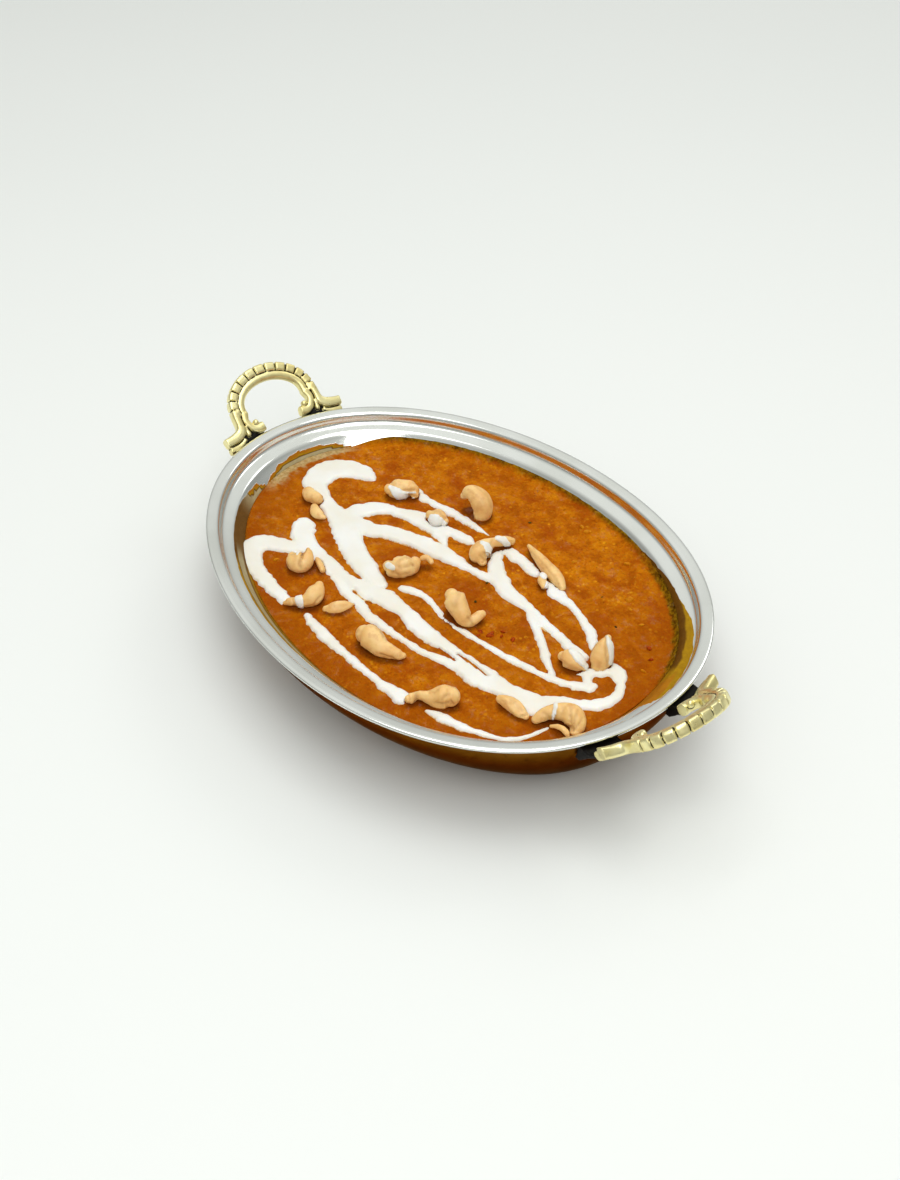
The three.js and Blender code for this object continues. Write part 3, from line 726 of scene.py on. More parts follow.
def handle_parts():
    """Every cast bar, bead and scroll of one handle, as rings in its plane."""
    swing = (-ARCH_SWING, ARCH_SWING, 90)
    parts = [
        plane_sweep(arch_path(14.9, 10.3, *swing), 1.85, 2.1, 20, 2.3),
        plane_sweep(arch_path(17.6, 13.2, *swing), 2.0, 1.7, 16, 3.0),
    ]
    step = 2 * ARCH_SWING / BEADS
    for bead in range(BEADS):
        start = -ARCH_SWING + bead * step
        path = arch_path(18.1, 13.75, start + BEAD_GAP, start + step - BEAD_GAP, 9)
        parts.append(plane_sweep(path, 2.0, 2.35, 20, 4.0, ends=(False, False)))
    for mirror in (1, -1):
        parts += [foot_bar(mirror, spec, 40, 18) for spec in FOOT_BARS.values()]
        ball = np.stack([np.linspace(1.9, 4.4, 13), np.full(13, 11.8 * mirror)], -1)
        parts.append(plane_sweep(ball, 1.3, 1.5, 18, 2.0, 0.9))
    return parts


def pad_rings(end, mirror):
    """The foot's pad between the jacket's wall and the foot, under the lip."""
    across = np.linspace(*PAD_ACROSS, PAD_COUNT)
    angle = np.arcsin(power(across / HALF_WIDTH, ROUNDNESS / 2))
    if end < 0:
        angle = math.pi - angle

    def edge(inset, depth):
        height = np.full(PAD_COUNT, DISH_HEIGHT - depth)
        return np.stack([oval(angle, inset, inset)[0], across * mirror, height], -1)

    rings = []
    for depth, outset in PAD_ROWS:
        wall = wall_rows(JACKET_TOP, JACKET_FOOT, np.array([depth]))[0]
        rings.append(np.vstack([edge(-outset, depth), edge(wall[1] - 0.1, depth)[::-1]]))
    return np.array(rings)


def hull(points):
    """Points and faces of the tightest skin round some points."""
    shape = bmesh.new()
    for point in points:
        shape.verts.new(point)
    bmesh.ops.convex_hull(shape, input=shape.verts)
    bmesh.ops.delete(shape, geom=[v for v in shape.verts if not v.link_faces], context="VERTS")
    shape.verts.index_update()
    skin = np.array([v.co for v in shape.verts]), [[v.index for v in f.verts] for f in shape.faces]
    shape.free()
    return skin


def raise_handle(points, place):
    """Points of the handle's plane, tilted up and set at its end of the dish."""
    end, foot_x, along, turn, size, bend_in, bend_up = place
    out, across, through = (points[..., k] * size for k in range(3))
    bend = (np.maximum(np.abs(across) - BEND_FROM, 0) / BEND_OVER) ** 2
    c, s = math.cos(HANDLE_TILT), math.sin(HANDLE_TILT)
    x = foot_x - HANDLE_TURN_X + out * c - through * s - bend_in * bend
    y = across + along
    z = DISH_HEIGHT + out * s + through * c + bend_up * bend
    c, s = math.cos(math.radians(turn)), math.sin(math.radians(turn))
    return np.stack([(HANDLE_TURN_X + x * c - y * s) * end, (x * s + y * c) * end, z], -1)


def distance_to(points, faces, places):
    tree = BVHTree.FromPolygons(points.tolist(), faces)
    return np.array([tree.find_nearest(place)[3] for place in places.tolist()])


def clear_of_lip(place):
    """Points over the dish's outline and above the jacket, moved out to a gap from the lip."""
    angle = np.arcsin(power(np.clip(place[:, 1] / (HALF_WIDTH + GAP), -1, 1), ROUNDNESS / 2))
    angle = np.where(place[:, 0] < 0, math.pi - angle, angle)
    limit = oval(angle, -GAP, -GAP)[0]
    inside = (np.abs(place[:, 0]) < np.abs(limit)) & (place[:, 2] > DISH_HEIGHT - JACKET_TOP[0])
    place[inside, 0] = limit[inside]
    return place


def voxel_skin(name, points, faces):
    """One even skin round bodies that run into each other."""
    rough = make_mesh(name + "_rough", points, faces)
    holder = add_object(rough, name + "_rough")
    remesh = holder.modifiers.new("remesh", "REMESH")
    remesh.mode = "VOXEL"
    remesh.voxel_size = VOXEL * MM
    graph = bpy.context.evaluated_depsgraph_get()
    mesh = bpy.data.meshes.new_from_object(holder.evaluated_get(graph))
    bpy.data.objects.remove(holder)
    bpy.data.meshes.remove(rough)
    mesh.name = name
    return mesh


def make_handle(which, place):
    """A handle with black patina in its hollows, and the web, plate and pad that fix each foot
    painted black: partly patina, partly painted shade of the gap under the lip.
    """
    bright = stacked([capped(raise_handle(rings, place)) for rings in handle_parts()])
    fixings = []
    for mirror in (1, -1):
        pad = pad_rings(place[0], mirror)
        web = raise_handle(foot_bar(mirror * place[0], WEB, 24, 12), place)
        plate = hull(np.vstack([web.reshape(-1, 3), pad[:2, :PAD_COUNT].reshape(-1, 3)]))
        fixings += [capped(pad), capped(web), plate]
    dark = stacked(fixings)
    mesh = voxel_skin("brass_handle_" + which, *stacked([bright, dark]))
    at = mesh_points(mesh)
    edges = read_rows(mesh.edges, "vertices", 2, np.int32)
    for _ in range(2):
        at = 0.5 * at + 0.5 * neighbour_mean(at, edges)
    at = clear_of_lip(at)
    mesh.vertices.foreach_set("co", (at * MM).astype(np.float32).ravel())
    mesh.update()
    mesh.shade_smooth()
    normals = read_rows(mesh.vertices, "normal", 3)
    cavity = np.einsum("ij,ij->i", neighbour_mean(at, edges, 7) - at, normals)
    recess = smoothstep(*RECESS, neighbour_mean(cavity, edges, 2))
    # The fixings are painted black: partly patina, partly painted shade of the gap under the lip.
    low = np.nonzero(at[:, 2] < DISH_HEIGHT + FIXINGS_REACH)[0]
    gap = distance_to(*bright, at[low]) - distance_to(*dark, at[low])
    recess[low] = np.maximum(recess[low], smoothstep(0.0, 0.25, gap))
    paint(mesh, recess=recess)
    add_piece(mesh, BRASS, ["handle_" + which])


# ---- cashews ----

# Each cashew as [x, y, height above the curry] at one end, its middle and its other end, its radii
# there and its thickness over its width, as in the CAD model, and how uneven its skin is.
CASHEWS = {
    "hook_upper": ([-73.6, -13.3, 2], [-70.4, -14, 2.6], [-67.2, -13.2, 2.2],
        [2.4, 2.8, 2.4], 0.8, 0.45),
    "hook_lower": ([-63.8, -16.7, 1.2], [-60.3, -17.6, 1.6], [-56.8, -17.2, 1.2],
        [1.8, 2.2, 1.6], 0.8, 0.3),
    "creamed_far": ([-51.2, 13.4, 2.6], [-50.8, 16.5, 3.2], [-46.8, 17.8, 2.6],
        [3.6, 4.2, 3.6], 0.85, 0.4),
    "standing": ([-28.6, 29.5, 8.2], [-21, 33.4, 6.4], [-19.8, 32.3, 1.2],
        [2.4, 4.1, 3.1], 0.85, 0.1),
    "creamed_small": ([-29.6, 15, 2.2], [-27.4, 16.5, 3], [-24.8, 17.6, 2.2],
        [3.1, 3.8, 3.1], 0.9, 0.3),
    "arched": ([2.4, 14.3, 3], [-0.2, 21, 4.2], [2.4, 28.2, 2.2],
        [4.1, 3.7, 2.8], 0.85, 0.25),
    "sliver": ([8.5, 34.4, 2.2], [21.2, 32.6, 3], [32.2, 28.9, 2],
        [1, 2, 1.6], 1.1, 0.15),
    "sliver_bit": ([24.6, 25.6, 1.6], [27.3, 24.4, 1.8], [29.9, 23.2, 1.5],
        [1.7, 1.9, 1.5], 0.8, 0.2),
    "split": ([-12.8, -14.7, 2.6], [-11.4, -11.8, 3.2], [-11, -8.6, 2.8],
        [3.3, 4.1, 3.4], 0.85, 0.5),
    "curled_bit": ([-9.6, -3.9, 3.8], [-8.6, -2.4, 4], [-6.4, -2, 3.2],
        [1, 1.1, 0.9], 0.8, 0.2),
    "left_round": ([-40.6, -41.5, 2.8], [-37, -41.2, 3.2], [-37.6, -37.6, 4],
        [3, 4, 2.9], 0.9, 0.2),
    "left_slice": ([-36, -33.6, 1.2], [-32.9, -34.6, 1.6], [-29.6, -35.6, 1.2],
        [1, 1.3, 1], 1.4, 0.1),
    "left_bent": ([-22.2, -56.7, 0.9], [-17.5, -51.4, 2.4], [-18.2, -44.7, 4.2],
        [1.8, 2.9, 2.6], 0.9, 0.2),
    "flat_half": ([-9.9, -46.1, 0.9], [-8.4, -43.1, 1.1], [-7.7, -39, 0.8],
        [2.3, 2.7, 1.3], 0.7, 0.1),
    "large": ([13.7, -45.1, 3.4], [20.6, -43.6, 3.4], [26.3, -40.2, 2.4],
        [4.8, 3.7, 2.4], 0.85, 0.08),
    "propped": ([19.8, -11, 7], [25.6, -12.2, 3.2], [29.1, -7.1, 2.8],
        [4.2, 3.4, 2.3], 0.85, 0.25),
    "knobby": ([46.2, -51.2, 1.8], [48.8, -47.2, 2.2], [53.4, -42.4, 3.4],
        [2.6, 2.2, 4.3], 0.85, 0.35),
    "near_piece": ([65.9, -28.2, 1.1], [70.2, -27.2, 1.3], [75.6, -27, 0.9],
        [1.7, 2.4, 1.3], 0.7, 0.2),
    "right_round": ([63.6, 2.6, 2.4], [66.3, 3, 3], [68.2, 4.8, 2.6],
        [3.1, 3.9, 3], 0.9, 0.2),
    "right_upright": ([72.4, 10.8, 1.6], [72.8, 12.8, 4.4], [72, 16, 8],
        [2.9, 3.5, 1.9], 0.8, 0.15),
    "crescent": ([80.5, -22.8, 2.2], [84.4, -15.6, 5.3], [90.2, -15.2, 3.4],
        [2.9, 3.3, 4.2], 0.85, 0.1),
    "crescent_bit": ([86.2, -22.4, 1.1], [88, -22.8, 1.5], [89.8, -22.4, 1.1],
        [0.9, 1.1, 0.9], 0.8, 0.1),
}

# The nuts as they are seen: [right, up, radius] along each from its first end, counted from its
# middle. A nut that isn't listed has the CAD model's simple bend.
SEEN = {
    "standing": [[-6.6, 2.5, 1.6], [-4.6, 3.5, 3.1], [-2.2, 2.5, 3.7], [-0.1, -0.1, 4.3],
        [0.6, -3.1, 4], [0.1, -5.5, 3.4], [-0.5, -7, 2.4]],
    "propped": [[-3.7, 7.9, 2.6], [-3, 6.8, 3.9], [-1.9, 4.4, 4], [-0.4, 1.8, 3.5], [1.3, -0.6, 3],
        [2.9, -1.3, 2.4], [4.5, -0.4, 1.9], [6.3, 0.8, 1.8], [7.2, 1.2, 1.4]],
    "large": [[-6.6, 4.1, 3.3], [-5.1, 3.5, 4.4], [-3.1, 1.8, 4.2], [-0.8, -0.4, 3.5],
        [1.8, -1.6, 2.9], [4.1, -2.5, 2.3], [6, -3.2, 1.9], [7.1, -3.3, 1.2]],
    "knobby": [[-4.6, -0.6, 1.5], [-4.1, -0.5, 2], [-2, 0.4, 1.5], [-0.1, 0.6, 1.7],
        [1.8, 0.2, 2.4], [4, -0.1, 3.5], [6.1, 0, 4.2], [8, 0.3, 4.3], [9.3, 0.2, 3.6]],
    "near_piece": [[-2.7, 3, 1.4], [-0.8, 2.3, 2.2], [1.8, 0.8, 2.7], [4.1, -1.1, 2.3],
        [5.7, -2.3, 1.4]],
    "crescent": [[-8.8, -3.8, 1.5], [-7.3, -2.8, 2.1], [-5.3, -1.8, 2.4], [-3.2, -1.3, 2.7],
        [-1.2, -1.1, 3], [1, -1.3, 3.4], [3.1, -2.2, 4], [4.3, -3.9, 3.7], [4.6, -5.9, 3],
        [4, -7.6, 1.9]],
    "crescent_bit": [[-0.3, 1.8, 0.7], [1.6, 1.8, 0.9], [3.6, 0.9, 1], [4.7, -0.4, 1],
        [5, -1, 0.8]],
    "left_round": [[-2.3, 2.2, 2.3], [-1.7, 1, 3.7], [0.2, -0.1, 4], [2.3, 0.1, 3.3],
        [3.1, 1.8, 2.6], [3.3, 3.9, 1.6], [3.2, 4.9, 0.8]],
    "split": [[-5.3, -0.2, 2.1], [-3.8, -0.8, 3.7], [-1.7, -0.8, 4.4], [0.6, -0.6, 4.4],
        [2.6, -0.2, 3.9], [4.3, 0.7, 2.9], [4.9, 1.5, 1.9]],
    "creamed_far": [[-4.9, -0.1, 2], [-3.7, -0.3, 3.3], [-1.5, -0.3, 4.1], [0.9, -0.1, 4],
        [3.1, -0.3, 3.5], [4.7, -1.2, 2.7], [5.3, -2.3, 1.8]],
    "creamed_small": [[-2.5, 1, 1.9], [-1, 0.4, 3.2], [0.5, -0.3, 3.5], [2.1, -1.2, 2.6],
        [3, -1.8, 1.5]],
    "arched": [[-3, -6.6, 1.9], [-3.9, -4.1, 4], [-3, -2, 3.7], [-1.1, -0.3, 2.6], [1.2, 0.7, 2],
        [4.1, 1.2, 1.9], [7.1, 1.5, 1.8], [8.6, 1.3, 1.3]],
    "sliver": [[-7.2, 6.5, 0.7], [-5.8, 4.5, 1.3], [-3.5, 1.4, 2.2], [-1.1, -1.7, 2.6],
        [1.4, -4.6, 2.8], [3.3, -7.5, 2.3], [4.2, -9.6, 1.6]],
    "sliver_bit": [[0, 2.1, 1.4], [-0.3, 0.4, 1.7], [0.2, -1.5, 1.3]],
    "right_round": [[-1.9, 1.4, 1.8], [-0.3, 1, 3.3], [2, -0.4, 3.3], [3.9, -1.6, 2.5],
        [5.1, -2.3, 1.5]],
    "right_upright": [[-1.1, -3.8, 2.9], [-0.7, -2.2, 3.8], [-0.3, -0.1, 3.9], [0.4, 2.4, 3.3],
        [1.3, 4.7, 2.4], [1.8, 6, 1.4]],
    "left_bent": [[-7.2, -0.5, 1], [-5.4, -0.1, 1.7], [-2.6, 0.1, 1.8], [0.1, 0.2, 2.4],
        [2.5, 1.4, 3.4], [4.1, 3.5, 3.3], [4.9, 5.1, 2.4], [5.1, 6.1, 1.6]],
    "flat_half": [[-4.2, -0.5, 1.4], [-2.3, -0.5, 2.5], [0.1, -0.1, 2.8], [2.3, 0.5, 2.3],
        [4.3, 1, 1.3], [5.2, 1.2, 0.6]],
    "hook_lower": [[-1.4, 2.5, 1.5], [-0.6, 0.4, 2.1], [1.4, -1.5, 1.7], [2.7, -2, 0.9]],
}

# Creases and bulges on the seen side, each as a line of [right, up], a width, and a depth that is
# negative for a bulge.
MARKS = {
    "large": [
        ([[-0.5, 5.5], [-0.1, 4.5], [0.4, 3.5]], 0.4, 0.5),
        ([[-1, -2.9], [1.4, -3.4], [4.7, -4.7]], 0.4, 0.55),
    ],
    "propped": [
        ([[-1.3, 8.6], [-1.9, 6.6], [-2.7, 4]], 1.1, 0.35),
        ([[0.2, 9.4], [0.3, 8.4]], 1.2, -0.5),
        ([[2.3, 0], [3.1, -1.2], [3.9, -2.6]], 0.7, 0.5),
        ([[-0.4, 9.4], [-0.7, 7.8]], 0.4, 0.4),
    ],
    "knobby": [
        ([[-2.4, 1.3], [-2.1, -0.2], [-2.1, -2.4]], 0.7, 0.7),
        ([[4.8, -1.7], [6.7, -2.2], [8.6, -1.7]], 0.6, 0.55),
        ([[6.7, -0.5], [7.4, 0.6], [8.9, 1]], 0.5, 0.4),
        ([[9.7, -0.9], [10.1, -2.4]], 0.5, 0.6),
        ([[3.7, 1.7], [5.2, 2.8]], 0.5, 0.35),
    ],
    "near_piece": [
        ([[-2, 4], [0.6, 0.6], [3.2, -2.4]], 0.8, -0.3),
        ([[1, 2.9], [4.4, -0.1]], 0.9, 0.3),
        ([[4.5, -2.2], [6.2, -1.4]], 0.5, 0.5),
    ],
    "crescent": [
        ([[2.5, 0.4], [2.3, -2.6], [2.6, -6.4]], 0.45, 0.45),
        ([[6.4, -3.1], [4.9, -5.2], [3.2, -6.7]], 0.45, 0.4),
        ([[0.1, 0.7], [-0.3, -1.8]], 0.6, 0.3),
        ([[2.7, -6.6], [2.9, -6.8]], 0.7, 0.9),
        ([[4.9, 0], [3.8, -3], [3.1, -5.5]], 0.5, 0.35),
        ([[-6.6, -1.5], [-4.3, -3.5]], 0.8, 0.35),
        ([[-3, 0], [-2.5, -3.5]], 0.6, 0.6),
    ],
    "left_round": [
        ([[2.5, 5.2], [1.4, 3], [0.6, 0.4], [0.8, -2]], 0.5, 0.85),
        ([[-2.1, 3.9], [-0.9, 1]], 0.9, 0.2),
    ],
    "split": [
        ([[-2.6, 0.9], [-0.5, 2.3], [2, 2.9], [3.5, 2.1], [2.9, 0], [-0.1, -1], [-2.3, -0.4],
         [-2.6, 0.9]], 0.5, 0.35),
        ([[4, 0.4], [4.2, -0.2]], 0.5, 0.9),
        ([[-3.8, -2.3], [-0.9, -3.5], [2.4, -2.9]], 0.5, 0.4),
        ([[-1.1, 0.7], [1.6, 1.3]], 0.8, -0.35),
    ],
    "creamed_far": [
        ([[-0.6, -0.8], [2.5, -0.8], [5.5, -0.3]], 0.5, 0.5),
        ([[1.8, -2.5], [4.2, -2.8], [5.8, -3.2]], 0.5, 0.5),
    ],
    "creamed_small": [
        ([[-1.8, 3], [1.2, 2.1], [3.1, -0.5]], 0.5, 0.4),
    ],
    "arched": [
        ([[-2.4, -3], [-1.3, -5.1], [-2.6, -6.8]], 0.5, 0.4),
        ([[-3.9, -4.3], [-2.2, -5.8], [-0.3, -6.4]], 0.45, 0.45),
        ([[-1.1, -0.9], [-0.9, -3]], 0.6, 0.35),
        ([[0.8, 1.4], [0.3, -0.5]], 0.5, 0.4),
    ],
    "standing": [
        ([[-7.7, 3], [-6.4, 1]], 0.5, 0.4),
        ([[-2.5, 6], [2.3, 2.1], [4.1, -2.7]], 0.35, 0.25),
    ],
    "sliver": [
        ([[-6.5, 4.1], [-2.7, -0.4], [1.9, -6.3], [3.1, -9.6]], 0.5, 0.3),
    ],
    "right_round": [
        ([[0.2, 4.1], [1.6, 3.3]], 0.6, 0.4),
        ([[-2.4, -0.2], [1, -2.5], [4.5, -3.6]], 0.6, 0.35),
    ],
    "right_upright": [
        ([[1, 6.6], [0.8, 2.4], [1.6, -3.8]], 0.45, 0.5),
    ],
    "left_bent": [
        ([[-0.5, -1.8], [3.1, -1.6], [5.9, 2]], 0.4, 0.4),
        ([[-4.2, 1.4], [-3.9, -1.6]], 0.4, 0.5),
    ],
    "flat_half": [
        ([[-3.3, -0.1], [-0.1, 0.5], [3.1, 1.1]], 0.9, 0.15),
    ],
}


GROOVE_WIDTH, GROOVE_DEPTH, CREASE_DEPTH = 0.02, 0.22, 0.8


def curry_height(y):
    return CURRY_LEVEL + CURRY_SLOPE * y


def bend(spec, t):
    """Places along the curve through a kernel's ends and middle."""
    a, b, c = (np.array([x, y, curry_height(y) + rise], float) for x, y, rise in spec[:3])
    t = np.asarray(t, float)[:, None]
    return a * (1 - t) ** 2 + (4 * b - a - c) * t * (1 - t) + c * t**2, b


def as_seen(places):
    return np.stack([places @ RIGHT, places @ UP], -1)


def kernel_spine(name, spec, fine=160):
    """The middle of a kernel, its spine as it is seen, and the radius along that."""
    radii = spec[3]
    t = np.linspace(0, 1, 7)
    curve, middle = bend(spec, t)
    radius = radii[0] * (1 - t) * (1 - 2 * t) + radii[1] * 4 * t * (1 - t)
    radius = radius + radii[2] * t * (2 * t - 1)
    simple = np.column_stack([as_seen(curve - middle), radius])
    seen = smooth_path(SEEN.get(name, simple), fine)
    depth = (bend(spec, np.linspace(0, 1, fine))[0] - middle) @ TOWARD
    spine = middle + seen[:, :1] * RIGHT + seen[:, 1:2] * UP + depth[:, None] * TOWARD
    return middle, spine, seen[:, 2]


def cashew_grid(name, spec, seed):
    """A kernel swept along its spine, with the groove between its halves, its creases, and an
    uneven skin. Gives its points, their outward directions and places as seen, and how creased."""
    flat, lumps = spec[4:]
    middle, spine, radius = kernel_spine(name, spec)
    gone = path_lengths(spine)
    length, first, last = gone[-1], radius[0], radius[-1]
    turn = np.linspace(-1, 1, KERNEL_ROWS)
    reach = (length + first + last) / 2 * np.sin(turn * math.pi / 2) * 0.998
    along = reach + (length + last - first) / 2
    on = np.clip(along, 0, length)

    def on_spine(values):
        return np.stack([np.interp(on, gone, column) for column in values.T], -1)

    ahead = unit(on_spine(unit(np.gradient(spine, gone, axis=0))))
    centre = on_spine(spine) + ahead * (along - on)[:, None]
    past = np.where(along < 0, -along / first, np.where(along > length, (along - length) / last, 0))
    radius = np.interp(on, gone, radius) * np.sqrt(np.clip(1 - past**2, 0, 1))
    high_way = unit(TOWARD - (ahead @ TOWARD)[:, None] * ahead)
    side = np.cross(high_way, ahead)
    angle = np.linspace(0, 2 * math.pi, KERNEL_AROUND, endpoint=False)
    wide, high = power(np.cos(angle), 0.95), power(np.sin(angle), 0.95) * flat
    groove = np.exp(-((np.cos(angle) - 1) / GROOVE_WIDTH) ** 2)
    groove = groove + 0.6 * np.exp(-((np.cos(angle) + 1) / GROOVE_WIDTH) ** 2)
    full = smoothstep(0.0, 0.35, radius / radius.max())[:, None]
    crease = 0.7 * groove[None, :] * full
    reach = radius[:, None] - GROOVE_DEPTH * crease
    points = centre[:, None, :] + side[:, None, :] * (reach * wide)[..., None]
    points = points + high_way[:, None, :] * (reach * high)[..., None]
    out = unit(points - centre[:, None, :])

    where = points + seed * 17.0
    skin = lumps * value_noise(where, 3.2, seed) + 0.4 * lumps * value_noise(where, 1.4, seed + 1)
    skin = skin + 0.06 * value_noise(where, 0.8, seed + 2)
    seen = as_seen(points - middle)
    wobble = 0.25 * value_noise(seen, 0.9, seed + 3)[..., None]
    front = smoothstep(-0.1, 0.3, out @ TOWARD)
    for line, width, drop in MARKS.get(name, []):
        mark = np.exp(-((line_distance(seen + wobble, line)[0] / width) ** 2)) * front
        skin = skin - CREASE_DEPTH * drop * mark
        crease = np.maximum(crease, mark * np.clip(drop * 1.6, 0, 1))
    return points + out * (skin * full)[..., None], out, seen, crease


def make_cashew(name, spec, seed):
    """A kernel as a piece. Gives its mesh, and its grid for the cream on it."""
    grid, out, seen, crease = cashew_grid(name, spec, seed)
    points, faces = capped(grid)
    mesh = make_mesh(f"cashew_{name}_kernel", points, faces)
    above = points[:, 2] - curry_height(points[:, 1])
    # Sauce on the foot of each nut, partly painted shade of its underside.
    sauce = np.clip(smoothstep(1.6, 0.2, above) + 0.15, 0, 1)
    # crease darkens the creases as painted shade.
    paint(mesh, crease=np.append(crease.ravel(), [0, 0]), sauce=sauce)
    add_piece(mesh, CASHEW, ["cashew_" + name])
    return mesh, (grid, out, seen)


# ---- cream ----

# Strokes of cream as [x, y, width] along the middle, as in the CAD model.
CREAM_STROKES = {
    "hook": [[-66, 13.5, 1.5], [-72, 13, 8.5], [-80, 8.5, 11.5], [-82.5, 1, 13.5], [-78.5, -6, 11],
        [-71, -8, 6], [-64, -10.5, 6.5], [-55, -11.5, 9]],
    "pool": [[-53, -11, 11.5], [-43, -15, 11.5], [-32, -19.5, 9.5], [-20, -21.5, 9], [-11, -23, 6]],
    "far_curl": [[-53, -9, 8], [-52.5, -3, 8.5], [-49, 4, 7], [-41, 9.5, 5.5], [-33, 13, 9],
        [-24, 15, 7.5], [-18, 17.5, 4.5], [-13, 18.5, 5.5], [-7.5, 19.8, 1]],
    "far_drip": [[-26, 14.5, 7], [-19, 12.5, 4.5], [-14, 10.4, 1.5]],
    "middle": [[-49, -9, 8], [-40, -6.5, 8.5], [-35, -2, 7.7], [-25, 2.5, 7.7], [-14, 5.8, 8.5],
        [-3, 8, 5.5], [4, 9.5, 4], [14, 12.5, 5]],
    "inner_run": [[0, 24.5, 6], [5, 20, 5], [10, 16, 6.7], [21, 11.8, 7.3], [32, 12, 4.8],
        [43, 11.3, 4], [54, 10.6, 3.8], [65, 9.8, 5.5]],
    "inner_fork": [[37, 10, 3], [50, 4.2, 3.1], [58, -0.2, 3.2], [66, -4, 2.4]],
    "outer_start": [[2, 27, 5], [11, 27.3, 5.4], [20.5, 27, 4]],
    "outer_run": [[27, 25.5, 4], [34, 25, 6], [42, 25.4, 3.2], [51, 23.2, 3.2], [58, 20.9, 4.6],
        [64.5, 16, 2.6]],
    "far_line": [[-49, 20.5, 7], [-42, 22, 4.3], [-30, 24.8, 4], [-19, 26.3, 3.4],
        [-8.5, 27.5, 0.8]],
    "near_middle": [[-4, -17.5, 3], [0, -15.5, 4.2], [6, -13.6, 2.5], [20, -15.3, 3],
        [37, -13.3, 2.8], [53, -9.6, 2.9], [69, -4.9, 3.3], [76, -0.5, 4.2], [79, 3, 4.3]],
    "near_link": [[72, 6.5, 4], [79, 1.5, 3.5]],
    "long_run": [[-43, -31, 7], [-34, -32.2, 9], [-23, -30.5, 5.4], [-9, -27.8, 7.5],
        [-2, -25.3, 8.8], [6, -24.7, 6.5], [21, -25.4, 7.6], [33, -24, 5.4], [46, -23.2, 6.5]],
    "long_fork": [[-24, -33.2, 4.5], [-13, -35, 4.3], [3, -36, 4.7], [17, -34.3, 2.8],
        [29, -32.2, 3.4], [43, -27.2, 4.6]],
    "near_loop": [[41, -25.5, 7], [50, -24.2, 10.5], [60, -22, 7.5], [67, -19.5, 7],
        [74, -18.2, 10.5], [78, -10.5, 5], [85.5, -4, 5], [88, 2.5, 5], [84.5, 11, 4],
        [77.5, 14, 6.8], [74, 8, 5], [71, 2.7, 1]],
    "near_line": [[-13, -53.5, 2.5], [-6, -54.6, 4.4], [10, -54.5, 3.6], [29, -53.4, 3.2],
        [43, -51.5, 6]],
    "rim_line": [[53, -48.6, 1.2], [58, -47, 3.8], [71, -41.8, 2.8], [81.5, -34.5, 2.2],
        [84.8, -22, 1.3]],
    "left_loop": [[-46, -33, 6], [-53, -38.8, 8.2], [-58.5, -43, 9], [-59, -48, 10.3],
        [-51, -53.3, 8], [-38, -55, 6.3], [-24.5, -55.2, 5]],
    "knob": [[-61, -24, 4], [-57.5, -26, 9], [-52.5, -29.5, 9.7], [-44.5, -31.8, 7]],
}

# Where the cream has slits, likewise.
SLITS = [
    [[31.4, -27.2, 0.9], [36, -26.8, 1.2], [40, -26.3, 0.8]],
    [[38, -23.6, 0.8], [46, -22.8, 1.2], [53, -22.3, 0.8]],
]

# Cream on the seen side of the nuts, as [right, up, width] from each nut's middle.
VEILS = {
    "creamed_far": [
        [[-4.4, 0.4, 1.8], [-2, -1.6, 4], [0.7, -4.1, 4.9], [2, -5.9, 2.7]],
        [[-0.6, -2.1, 2.2], [2.9, -1.9, 1], [5.6, -1.6, 0.7]],
        [[1.6, -4.1, 1.8], [4.7, -4.1, 1.2]],
    ],
    "creamed_small": [
        [[-3.4, -1.8, 2.6], [-1, -1.8, 4.8], [1.2, -2.5, 4.8], [3.1, -3.1, 2.6]],
        [[-1.8, -0.1, 2.6], [-0.1, -0.5, 3]],
    ],
    "arched": [
        [[-3, 0.7, 1.3], [-1.1, -0.5, 2.5], [0.1, -3, 3.4]],
        [[2.9, 2.4, 1.7], [5.4, 1.6, 2.9], [7.1, -0.5, 2.5]],
    ],
    "right_round": [
        [[1, 3.3, 2.3], [3.5, 1.4, 4.2], [5.6, -0.5, 4.2], [6.8, -2.5, 2.3]],
    ],
    "right_upright": [
        [[1.4, 6.5, 1.5], [2.5, 3.9, 2.5], [3.1, 0.1, 2.3], [2.9, -2.6, 1.9]],
    ],
    "left_bent": [
        [[-2.4, 2, 2.8], [-1.8, 0, 3.2], [-1.1, -1.8, 2]],
    ],
    "split": [
        [[-5.3, 0, 2.5], [-3.6, -0.8, 2.1]],
    ],
    "left_round": [
        [[-2.1, 4.9, 2.1], [-0.5, 4.7, 2.5], [1.4, 5.3, 1.7]],
        [[-0.2, 4.5, 1.7], [-0.5, 3.2, 0.8]],
    ],
    "sliver_bit": [
        [[0, 2.5, 2.3], [0.6, 2.1, 2.3]],
        [[1.5, -0.3, 1.6], [1.3, -2.3, 2.5]],
    ],
    "crescent": [
        [[-2.3, 1.3, 1.3], [-2.8, -1.1, 1.1], [-3.2, -3.5, 1.3]],
    ],
}


CREAM_RISE, SLIT_DEPTH = 1.35, 0.8
CREAM_UNDER = 1.6  # its underside lies this far in the curry
NO_CREAM = -3.0
NO_VEIL = -9.0


